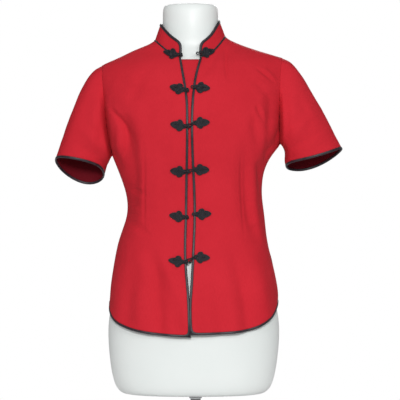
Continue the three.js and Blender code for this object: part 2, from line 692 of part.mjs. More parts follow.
function addCollar() {
  const turns = seamTurns();
  const seam = turns.map(seamPoint);
  const walk = [0];
  for (let i = 1; i < seam.length; i += 1) walk.push(walk[i - 1] + seam[i].distanceTo(seam[i - 1]));
  const length = walk[walk.length - 1];
  const rows = COLLAR_END.length;
  const raised = (foot, top) => Array.from({ length: rows }, (_, i) => {
    const share = i / (rows - 1);
    return { aside: foot + (top.aside - foot) * share, height: top.height * share };
  });
  const near = [COLLAR_END, ...COLLAR_CORNER.map(({ foot, top }) => raised(foot, top))];
  const columns = [...near];
  for (let i = 1; i < seam.length - 1; i += 1) {
    const share = Math.sin(turns[i] * TURN) ** 2;
    const other = Math.abs(turns[i]) < 90 ? COLLAR.frontHeight : COLLAR.backHeight;
    columns.push(raised(walk[i], { aside: walk[i], height: other + (COLLAR.sideHeight - other) * share }));
  }
  for (const column of near.slice().reverse()) {
    columns.push(column.map(({ aside, height }) => ({ aside: length - aside, height })));
  }
  const grid = [];
  for (let i = 0; i < rows; i += 1) {
    grid.push(columns.map((column, j) => {
      const labels = [];
      if (i === 0) labels.push('base');
      if (i === rows - 1) labels.push('top');
      if (j === 0 || j === columns.length - 1) labels.push('end');
      return { point: collarPoint(seam, turns, column[i].aside, column[i].height), labels };
    }));
  }
  const sheet = makeSheet([{ grid, flip: true }]);
  const insets = { base: NECK_HOLD_BACK, top: HOLD_BACK, end: HOLD_BACK };
  addPiece('collar', wallGeometry(sheet, insets), RED_CREPE);
  addPiece('collar_binding', bindingGeometry(sheet, ['end', 'top'], insets), SATIN);
}

function addNeckCord() {
  const path = seamTurns().map(seamPoint);
  const rings = path.map((point, i) => {
    const along = path[Math.min(i + 1, path.length - 1)].clone().sub(path[Math.max(i - 1, 0)]).normalize();
    const out = new THREE.Vector3(point.x, point.y, 0).normalize();
    const up = new THREE.Vector3().crossVectors(along, out).normalize();
    const level = new THREE.Vector3().crossVectors(up, along).normalize();
    const centre = point.clone().addScaledVector(level, -WALL / 2);
    return Array.from({ length: 6 }, (_, k) => {
      const turn = (k * Math.PI) / 3;
      return centre.clone().addScaledVector(level, NECK_CORD * Math.cos(turn))
        .addScaledVector(up, NECK_CORD * Math.sin(turn));
    });
  });
  addPiece('neck_piping', skin(rings), SATIN);
}

// ---------------------------------------------------------------- underlap
function addUnderlap() {
  const grid = [];
  for (let i = 0; i <= UNDERLAP.rows; i += 1) {
    const z = UNDERLAP.bottom + ((UNDERLAP.top - UNDERLAP.bottom) * i) / UNDERLAP.rows;
    const row = [];
    for (let j = 0; j <= UNDERLAP.columns; j += 1) {
      const x = UNDERLAP.right + ((UNDERLAP.left - UNDERLAP.right) * j) / UNDERLAP.columns;
      const labels = i === 0 || i === UNDERLAP.rows || j === 0 || j === UNDERLAP.columns ? ['rim'] : [];
      row.push({ point: bodyPoint(CLOTH_BODY, turnAt(CLOTH_BODY, x, z), z, true), labels });
    }
    grid.push(row);
  }
  const sheet = makeSheet([{ grid, flip: false }]);
  addPiece('underlap', wallGeometry(sheet, { rim: 0 }, { lift: -UNDERLAP.behind, thickness: WALL - 0.4 }), RED_CREPE);
}

// ---------------------------------------------------------------- frogs
// A place on the front's outer face with its outward direction.
function frontFace(x, z) {
  const at = (px, pz) => bodyPoint(CLOTH_BODY, turnAt(CLOTH_BODY, px, pz), pz, true);
  const point = at(x, z);
  const right = at(x + 2, z).sub(at(x - 2, z));
  const up = at(x, z + 2).sub(at(x, z - 2));
  return { point, normal: new THREE.Vector3().crossVectors(right, up).normalize() };
}

// The same over the neck seam, where the collar rises from it.
function neckFace(x, z) {
  const turn = Math.asin(x / (x < 0 ? NECK_SEAM.right : NECK_SEAM.left)) / TURN;
  const foot = seamPoint(turn);
  if (z < foot.z) return frontFace(x, z);
  const [topX, topY] = planPoint(COLLAR_TOP, turn);
  const up = new THREE.Vector3(topX - foot.x, topY - foot.y, COLLAR.sideHeight);
  const around = seamPoint(turn + 2).sub(seamPoint(turn - 2));
  const normal = new THREE.Vector3().crossVectors(around, up).normalize();
  return { point: foot.addScaledVector(up, (z - foot.z) / COLLAR.sideHeight), normal };
}

// A leaf: its outline and its lower middle lie over the cloth, its raised face is set in from the outline.
function leafGeometry(face, x, z, sign) {
  const half = LEAF_OUTLINE.map(({ along, across }) => [along, across]);
  const outline = [...half, [LEAF_TIP, 0], ...half.slice().reverse().map(([along, across]) => [along, -across])];
  const middle = [LEAF_TIP * 0.48, 0];
  const tilt = LEAF.tilt * TURN;
  const at = ([along, across], height, inset = 0) => {
    const a = along + (middle[0] - along) * inset;
    const c = across + (middle[1] - across) * inset;
    const px = x + sign * (a * Math.cos(tilt) - c * Math.sin(tilt));
    const pz = z + a * Math.sin(tilt) + c * Math.cos(tilt);
    const { point, normal } = face(px, pz);
    return point.clone().addScaledVector(normal, height);
  };
  const low = LEAF.lift;
  const high = LEAF.lift + LEAF.thickness;
  const rings = [
    outline.map((place) => at(place, low, 0.5)),
    outline.map((place) => at(place, low)),
    outline.map((place) => at(place, low + LEAF.thickness * 0.6)),
    outline.map((place) => at(place, high, 0.22)),
  ];
  return skin(rings);
}

// A ball knot on a short neck, turned about the line from its leaf to the opening.
function knotGeometry(start, direction, length) {
  const r = KNOT.radius;
  const profile = [[0, 0], [KNOT.neck, 0], [KNOT.neck, length - r * 0.9], [r * 0.72, length - r * 0.62],
    [r, length], [r * 0.72, length + r * 0.68], [0, length + r]];
  const geometry = new THREE.LatheGeometry(profile.map(([radius, height]) => new THREE.Vector2(radius, height)), 8);
  const turn = new THREE.Quaternion().setFromUnitVectors(new THREE.Vector3(0, 1, 0), direction);
  geometry.applyQuaternion(turn);
  geometry.translate(start.x, start.y, start.z);
  return geometry;
}

function cordGeometry(points) {
  const section = new THREE.Shape();
  for (let k = 0; k < 6; k += 1) {
    const turn = (k * Math.PI) / 3;
    const move = k === 0 ? 'moveTo' : 'lineTo';
    section[move](LOOP_CORD * Math.cos(turn), LOOP_CORD * Math.sin(turn));
  }
  const extrudePath = new THREE.CatmullRomCurve3(points);
  return new THREE.ExtrudeGeometry(section, { steps: 12, bevelEnabled: false, extrudePath });
}

function addFrogs() {
  for (const frog of FROGS) {
    const atNeck = frog === FROGS[0];
    const face = atNeck ? neckFace : frontFace;
    addPiece(`${frog.name}_leaf_right`, leafGeometry(face, frog.rightX, frog.rightZ, -1), FROG_CORD);
    addPiece(`${frog.name}_leaf_left`, leafGeometry(face, frog.leftX, frog.leftZ, 1), FROG_CORD);

    const knotFrom = face(frog.rightX + 0.5, frog.rightZ);
    const start = knotFrom.point.clone().addScaledVector(knotFrom.normal, KNOT.radius + 1.4);
    const loopFrom = face(frog.leftX - 0.5, frog.leftZ);
    const base = loopFrom.point.clone().addScaledVector(loopFrom.normal, KNOT.radius + 1.4);
    const toward = base.clone().sub(start).normalize();
    addPiece(`${frog.name}_knot`, knotGeometry(start, toward, KNOT.reach), FROG_CORD);

    const far = frog.closed ? start.clone().addScaledVector(toward, 0.9) : base.clone().addScaledVector(toward, -8);
    const run = far.clone().sub(base);
    const aside = new THREE.Vector3().crossVectors(run.clone().normalize(), loopFrom.normal).normalize();
    const wide = frog.closed ? KNOT.radius + LOOP_CORD + 0.7 : 3.4;
    // over the neck of the knot the loop rides clear of it, further out from the cloth
    const over = frog.closed ? KNOT.neck + LOOP_CORD + 0.5 : 0;
    const at = (share, side, out = 0) => base.clone().addScaledVector(run, share)
      .addScaledVector(aside, side * wide).addScaledVector(loopFrom.normal, out);
    const leg = (side) => [at(0, 0.42 * side), at(0.35, 0.9 * side), at(0.72, side), at(0.95, 0.6 * side, over * 0.7)];
    addPiece(`${frog.name}_loop`, cordGeometry([...leg(1), at(1, 0, over), ...leg(-1).reverse()]), FROG_CORD);
  }
}

// ---------------------------------------------------------------- dress form and stand
function addForm() {
  const ring = (z, section) => Array.from({ length: GRID.form }, (_, k) => {
    const turn = -180 + (360 * k) / GRID.form;
    return bodyPoint(section, turn, z);
  });
  const bore = POLE.radius + SOCKET_CLEARANCE;
  const boreRing = (z) => Array.from({ length: GRID.form }, (_, k) => {
    const turn = (-180 + (360 * k) / GRID.form) * TURN;
    return new THREE.Vector3(bore * Math.sin(turn) - GARMENT_SHIFT, -bore * Math.cos(turn), z);
  });
  const bottom = FORM_BODY[0].z;
  const rings = [boreRing(POLE.top + 1), boreRing(bottom), ...FORM_BODY.map(({ z }) => ring(z, FORM_BODY))];
  addPiece('dress_form', skin(rings), WHITE_FORM);
}

const turned = (profile, segments) =>
  new THREE.LatheGeometry(profile.map(([radius, z]) => new THREE.Vector2(radius, z)), segments)
    .rotateX(Math.PI / 2);

function addStand() {
  const bore = POLE.radius + SOCKET_CLEARANCE;
  const pole = turned([[0, POLE.bottom], [POLE.radius, POLE.bottom], [POLE.radius, POLE.top], [0, POLE.top]],
    POLE.segments);
  addPiece('pole', pole, CHROME);
  const ferrule = turned([[bore, FERRULE.bottom], [FERRULE.radius, FERRULE.bottom],
    [FERRULE.radius, FERRULE.top], [bore, FERRULE.top], [bore, FERRULE.bottom]], POLE.segments);
  addPiece('ferrule', ferrule, CHROME);
  const floorOfSocket = POLE.bottom - SEAM_GAP;
  const base = turned([[0, 0], [BASE.radius - 2, 0], [BASE.radius, 2], [BASE.radius, BASE.rim - 2],
    [BASE.radius - 3, BASE.rim], [BASE.bossRadius + 3, BASE.dome], [BASE.bossRadius, BASE.dome + 3],
    [BASE.bossRadius - 2, BASE.bossTop], [bore, BASE.bossTop], [bore, floorOfSocket], [0, floorOfSocket]],
  BASE.segments);
  addPiece('stand_base', base, CHROME);
}

addBody();
addSleeves();
addCollar();
addNeckCord();
addUnderlap();
addFrogs();
addForm();
shift = 0;
addStand();

export default part;
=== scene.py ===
import math
import bmesh
import bpy
import numpy as np
from mathutils import Matrix, Vector, noise
from mathutils.bvhtree import BVHTree
from mathutils.kdtree import KDTree


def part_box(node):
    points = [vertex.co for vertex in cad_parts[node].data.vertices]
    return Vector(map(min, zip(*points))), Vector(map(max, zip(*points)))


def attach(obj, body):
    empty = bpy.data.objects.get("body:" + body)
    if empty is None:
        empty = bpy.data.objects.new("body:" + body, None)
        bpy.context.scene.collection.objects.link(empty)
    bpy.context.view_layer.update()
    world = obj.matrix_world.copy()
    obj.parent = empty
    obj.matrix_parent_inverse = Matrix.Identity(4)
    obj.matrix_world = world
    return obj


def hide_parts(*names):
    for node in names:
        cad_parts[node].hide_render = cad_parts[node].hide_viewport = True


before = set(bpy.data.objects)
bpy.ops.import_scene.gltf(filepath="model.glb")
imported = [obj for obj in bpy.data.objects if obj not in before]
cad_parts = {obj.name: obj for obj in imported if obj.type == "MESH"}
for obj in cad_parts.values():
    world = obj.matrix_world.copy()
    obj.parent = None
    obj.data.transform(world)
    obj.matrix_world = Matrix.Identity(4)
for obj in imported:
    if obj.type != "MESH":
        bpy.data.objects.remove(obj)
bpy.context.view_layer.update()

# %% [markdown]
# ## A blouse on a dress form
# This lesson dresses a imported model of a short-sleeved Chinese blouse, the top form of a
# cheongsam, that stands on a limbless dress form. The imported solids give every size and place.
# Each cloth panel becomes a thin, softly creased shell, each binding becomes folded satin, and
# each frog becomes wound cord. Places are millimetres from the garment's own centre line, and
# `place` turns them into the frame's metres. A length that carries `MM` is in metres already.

MM = 0.001
GARMENT_X = -6          # the garment's centre line beside the pole's
CAMERA_DISTANCE = 3.5
VIEW_WIDTH = 784 * MM
VIEW_CENTRE = Vector((8.7 * MM, 0, 518.3 * MM))


def place(x, y, z):
    return Vector(((x + GARMENT_X) * MM, y * MM, z * MM))


def link(name, data):
    thing = bpy.data.objects.new(name, data)
    bpy.context.collection.objects.link(thing)
    return thing


def add_camera():
    data = bpy.data.cameras.new("camera")
    data.sensor_width = 36
    data.lens = data.sensor_width * CAMERA_DISTANCE / VIEW_WIDTH
    camera = link("camera", data)
    camera.location = VIEW_CENTRE + Vector((0, -CAMERA_DISTANCE, 0))
    camera.rotation_euler = (math.radians(90), 0, 0)
    bpy.context.scene.camera = camera
    print("camera lens", round(data.lens, 1))


add_camera()

# %% [markdown]
# ## Shader nodes as arithmetic
# A pattern is easier to read as a formula than as a heap of nodes. `Field` wraps one socket, and
# the usual operators add Math nodes. `Look` is one material, with a method for any other node.

# %%
# Field and Look
class Field:
    def __init__(self, look, socket):
        self.look = look
        self.socket = socket

    def _math(self, operation, other=None):
        node = self.look.tree.nodes.new("ShaderNodeMath")
        node.operation = operation
        for slot, value in zip(node.inputs, (self, other)):
            self.look.feed(slot, value)
        return Field(self.look, node.outputs[0])

    def __add__(self, other):
        return self._math("ADD", other)

    def __mul__(self, other):
        return self._math("MULTIPLY", other)

    def sine(self):
        return self._math("SINE")

    def at_least(self, other):
        return self._math("MAXIMUM", other)


class Look:
    def __init__(self, name, **constants):
        self.material = bpy.data.materials.new(name)
        self.material.use_nodes = True
        self.tree = self.material.node_tree
        self.surface = self.tree.nodes["Principled BSDF"]
        for socket, value in constants.items():
            self.surface.inputs[socket.replace("_", " ")].default_value = value

    def feed(self, slot, value):
        if isinstance(value, Field):
            self.tree.links.new(value.socket, slot)
        elif value is not None:
            slot.default_value = value

    def node(self, kind, output, inputs, **settings):
        node = self.tree.nodes.new(kind)
        for name, value in settings.items():
            setattr(node, name, value)
        for name, value in inputs.items():
            self.feed(node.inputs[name], value)
        return Field(self, node.outputs[output])

    def space(self):
        return self.node("ShaderNodeTexCoord", "Object", {})

    def grain(self):
        """The cloth's own map, in metres across and along the grain."""
        return self.node("ShaderNodeUVMap", "UV", {}, uv_map="weave")

    def noise(self, scale, detail, roughness, vector=None):
        inputs = {"Vector": vector or self.space(), "Scale": scale, "Detail": detail,
                  "Roughness": roughness}
        return self.node("ShaderNodeTexNoise", "Fac", inputs)

    def stretched(self, vector, scale):
        inputs = {"Vector": vector, "Scale": scale}
        return self.node("ShaderNodeMapping", "Vector", inputs)

    def blend(self, factor, first, second):
        mix = self.tree.nodes.new("ShaderNodeMix")
        mix.data_type = "RGBA"
        self.feed(mix.inputs[0], factor)
        self.feed(mix.inputs[6], first)
        self.feed(mix.inputs[7], second)
        return Field(self, mix.outputs[2])

    def spread(self, value, low, high, out_low, out_high):
        inputs = {"Value": value, "From Min": low, "From Max": high,
                  "To Min": out_low, "To Max": out_high}
        return self.node("ShaderNodeMapRange", "Result", inputs)

    def paint(self, colour=None, roughness=None, height=None, distance=None):
        if colour is not None:
            self.feed(self.surface.inputs["Base Color"], colour)
        if roughness is not None:
            self.feed(self.surface.inputs["Roughness"], roughness)
        if height is not None:
            bump = self.node("ShaderNodeBump", "Normal", {"Height": height, "Distance": distance})
            self.feed(self.surface.inputs["Normal"], bump)
        return self.material


# %% [markdown]
# ## Materials
# The red cloth is a fine plain weave with slubs, so its threads follow the map of each panel.
# Satin is darker and glossier, with folds across the bias. The form is smooth painted plastic.

# %%
# Cloth, satin and cord
THREAD = 0.62 * MM


def plain_weave(across, along):
    """Height of a plain weave: warp over weft and weft over warp by turns."""
    turn = 2 * math.pi / THREAD
    warp = (across * turn).sine()
    weft = (along * turn).sine()
    return warp * weft * 0.5 + warp.at_least(weft) * 0.35


def red_cloth(name, low, high, thread_tone):
    look = Look(name, Sheen_Weight=0.05, Sheen_Roughness=0.5, Sheen_Tint=(1.0, 0.3, 0.3, 1),
                Specular_IOR_Level=0.04)
    grain = look.grain()
    across, along = [look.node("ShaderNodeSeparateXYZ", axis, {"Vector": grain}) for axis in "XY"]
    slub = look.noise(120, 3, 0.6, look.stretched(grain, (6.0, 1.0, 1.0)))
    mottle = look.noise(9, 3, 0.55)
    tone = look.blend(look.spread(mottle, 0.3, 0.7, 0, 1), low, high)
    thread = look.blend(look.spread(slub, 0.35, 0.7, 0, 0.3), tone, thread_tone)
    height = plain_weave(across, along) * 0.8 + slub * 0.35
    return look.paint(thread, look.spread(slub, 0.3, 0.7, 0.66, 0.8), height, 0.00012)


def dark_satin():
    look = Look("dark_satin", Sheen_Weight=0.12, Sheen_Roughness=0.35, Sheen_Tint=(0.8, 0.68, 0.78, 1),
                Specular_IOR_Level=0.5)
    bias = look.noise(150, 3, 0.55, look.stretched(look.space(), (1.0, 1.0, 0.35)))
    fine = look.noise(900, 2, 0.5)
    colour = look.blend(look.spread(bias, 0.35, 0.65, 0, 1),
                        (0.010, 0.007, 0.011, 1), (0.027, 0.018, 0.026, 1))
    return look.paint(colour, look.spread(bias, 0.3, 0.7, 0.42, 0.55), bias * 0.8 + fine * 0.2, 0.0004)


def frog_cord():
    look = Look("frog_cord", Sheen_Weight=0.06, Sheen_Roughness=0.4, Specular_IOR_Level=0.3)
    strands = look.noise(700, 3, 0.6, look.stretched(look.space(), (1.0, 1.0, 0.5)))
    colour = look.blend(look.spread(strands, 0.35, 0.65, 0, 1),
                        (0.006, 0.006, 0.009, 1), (0.015, 0.015, 0.021, 1))
    return look.paint(colour, look.spread(strands, 0.3, 0.7, 0.46, 0.62), strands, 0.00025)


def sewing_thread(colour):
    look = Look("red_thread", Sheen_Weight=0.03, Specular_IOR_Level=0.15)
    twist = look.noise(1500, 2, 0.5)
    tone = look.blend(twist, colour, tuple(0.6 * c for c in colour[:3]) + (1,))
    return look.paint(tone, look.spread(twist, 0.3, 0.7, 0.5, 0.7), twist, 0.0001)


RED = red_cloth("red_cloth",
                (0.53, 0.019, 0.031, 1), (0.59, 0.023, 0.037, 1), (0.44, 0.014, 0.024, 1))
# The inner wall of every panel is the same red cloth painted far darker, as painted shade inside the
# sleeves and the body.
INSIDE_SHADE = red_cloth("red_inside_painted_shade",
                   (0.135, 0.006, 0.012, 1), (0.165, 0.008, 0.015, 1), (0.10, 0.005, 0.009, 1))
SATIN = dark_satin()
CORD = frog_cord()
RED_THREAD = sewing_thread((0.40, 0.012, 0.022, 1))
print("cloth materials", [m.name for m in (RED, INSIDE_SHADE, SATIN, CORD, RED_THREAD)])

# %%
# Form and stand
def white_form():
    look = Look("white_form", Coat_Weight=0.1, Coat_Roughness=0.3, Specular_IOR_Level=0.4,
                Sheen_Weight=0.35, Sheen_Roughness=0.6)
    cloud = look.noise(6, 3, 0.5)
    grain = look.noise(420, 2, 0.5)
    colour = look.blend(look.spread(cloud, 0.35, 0.65, 0, 1),
                        (0.735, 0.775, 0.76, 1), (0.77, 0.805, 0.79, 1))
    return look.paint(colour, look.spread(cloud, 0.3, 0.7, 0.36, 0.46), grain + cloud * 2, 0.00008)


def bright_metal(name, tone, low, high, stretch, distance):
    look = Look(name, Metallic=1.0)
    lines = look.noise(90, 4, 0.6, look.stretched(look.space(), stretch))
    colour = look.blend(lines, tuple(0.92 * c for c in tone) + (1,), tone + (1,))
    return look.paint(colour, look.spread(lines, 0.3, 0.7, low, high), lines, distance)


FORM = white_form()
CHROME = bright_metal("chrome", (0.62, 0.63, 0.64), 0.08, 0.16, (1, 1, 0.1), 0.00002)
STEEL = bright_metal("brushed_steel", (0.56, 0.57, 0.58), 0.26, 0.38, (0.08, 6, 6), 0.00005)
print("stand materials", [m.name for m in (FORM, CHROME, STEEL)])

# %% [markdown]
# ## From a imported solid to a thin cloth
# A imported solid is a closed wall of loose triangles. A welded copy keeps only its outer wall.
# Its border is moved a little outwards, under the binding that covers it or up to the seam that
# it shares. Subdivision then makes the faceted wall one smooth sheet.

# %%
# Welding, walls, borders and pins
WELD = 0.02 * MM
WALL_TURN = math.radians(55)    # a sharper edge parts the outer wall from the rest
UNDER_BINDING = 2.5 * MM        # how far the cloth reaches into its binding
SEAM_REACH = 0.45 * MM          # how far it reaches past a seam
NEARLY_STRAIGHT = 0.985         # cosine between the two sides of a border point
CORNER_TURN = math.radians(35)
SHARP_TURN = math.radians(50)
FLAT_TURN = math.radians(12)
PIN_REACH = 1.5 * MM
HEM_PIN_REACH = 8 * MM
SEAM_ENDS = [place(-157, 0, 604), place(171.6, 0, 627), place(-177, 0, 782), place(176, 0, 797)]
HEM_CORNERS = [place(-2.9, -117, 257), place(-1, -117, 261.5)]


def welded(*nodes):
    shape = bmesh.new()
    for node in nodes:
        shape.from_mesh(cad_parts[node].data)
    bmesh.ops.remove_doubles(shape, verts=shape.verts, dist=WELD)
    shape.normal_update()
    return shape


def tree_of(*nodes):
    shape = welded(*nodes)
    tree = BVHTree.FromBMesh(shape)
    shape.free()
    return tree


def keep_outer_wall(shape):
    left = dict.fromkeys(shape.faces)
    walls = []
    while left:
        front = [next(iter(left))]
        left.pop(front[0])
        wall = []
        while front:
            face = front.pop()
            wall.append(face)
            for edge in face.edges:
                if edge.calc_face_angle(math.pi) > WALL_TURN:
                    continue
                for other in edge.link_faces:
                    if other in left:
                        left.pop(other)
                        front.append(other)
        walls.append(wall)
    kept = set(max(walls, key=lambda wall: sum(face.calc_area() for face in wall)))
    rest = [face for face in shape.faces if face not in kept]
    bmesh.ops.delete(shape, geom=rest, context="FACES")


def border_sides(vert):
    """The two ways out of the sheet at a border point, with the middles of their edges."""
    sides = []
    for edge in vert.link_edges:
        if edge.is_boundary:
            face = edge.link_faces[0]
            ends = [end.co for end in edge.verts]
            middle = (ends[0] + ends[1]) / 2
            side = (ends[1] - ends[0]).cross(face.normal).normalized()
            if side.dot(middle - face.calc_center_median()) < 0:
                side.negate()
            sides.append((side, middle))
    return sides


def move_border(shape, bindings):
    moves = {}
    for vert in shape.verts:
        sides = border_sides(vert)
        if len(sides) != 2:
            continue
        (a, at_a), (b, at_b) = sides
        near = [bindings.find_nearest(at)[3] < 1 * MM for at in (at_a, at_b)]
        da, db = [UNDER_BINDING if close else SEAM_REACH for close in near]
        cosine = a.dot(b)
        if cosine > NEARLY_STRAIGHT:
            moves[vert] = (a + b).normalized() * (da + db) / 2
        else:
            scale = 1 / (1 - cosine * cosine)
            moves[vert] = a * (da - cosine * db) * scale + b * (db - cosine * da) * scale
    for vert, move in moves.items():
        vert.co += move


def float_layer(elements, name):
    layers = elements.layers.float
    return layers.get(name) or layers.new(name)


def pin(shape, places, radius):
    """Points that subdivision leaves where they are."""
    layer = float_layer(shape.verts, "crease_vert")
    for vert in shape.verts:
        if any((vert.co - spot).length < radius for spot in places):
            vert[layer] = 1


def pin_corners(shape):
    layer = float_layer(shape.verts, "crease_vert")
    for vert in shape.verts:
        sides = border_sides(vert)
        if len(sides) == 2 and sides[0][0].angle(sides[1][0]) > CORNER_TURN:
            vert[layer] = 1


def crease_edges(shape, amount):
    layer = float_layer(shape.edges, "crease_edge")
    for edge in shape.edges:
        if len(edge.link_faces) == 2 and edge.calc_face_angle(0) > SHARP_TURN:
            edge[layer] = amount


def smoothed(name, shape, levels):
    """A mesh of the subdivided shape."""
    mesh = bpy.data.meshes.new(name)
    shape.to_mesh(mesh)
    shape.free()
    thing = link(name, mesh)
    subdivide = thing.modifiers.new("smooth", "SUBSURF")
    subdivide.levels = subdivide.render_levels = levels
    subdivide.boundary_smooth = "PRESERVE_CORNERS"
    depsgraph = bpy.context.evaluated_depsgraph_get()
    final = bpy.data.meshes.new_from_object(thing.evaluated_get(depsgraph))
    bpy.data.objects.remove(thing)
    bpy.data.meshes.remove(mesh)
    final.name = name
    final.materials.clear()
    for attribute in ("crease_vert", "crease_edge"):
        if attribute in final.attributes:
            final.attributes.remove(final.attributes[attribute])
    final.shade_smooth()
    return final


# %% [markdown]
# ## Creases
# Each crease is a line of points on the cloth with a half width, a height in or out, and a skew
# that makes one flank steeper. Its strength dies away at both ends, except at a hem, where a
# fold runs out at full strength. Rounded flanks on both sides keep the cloth's length.

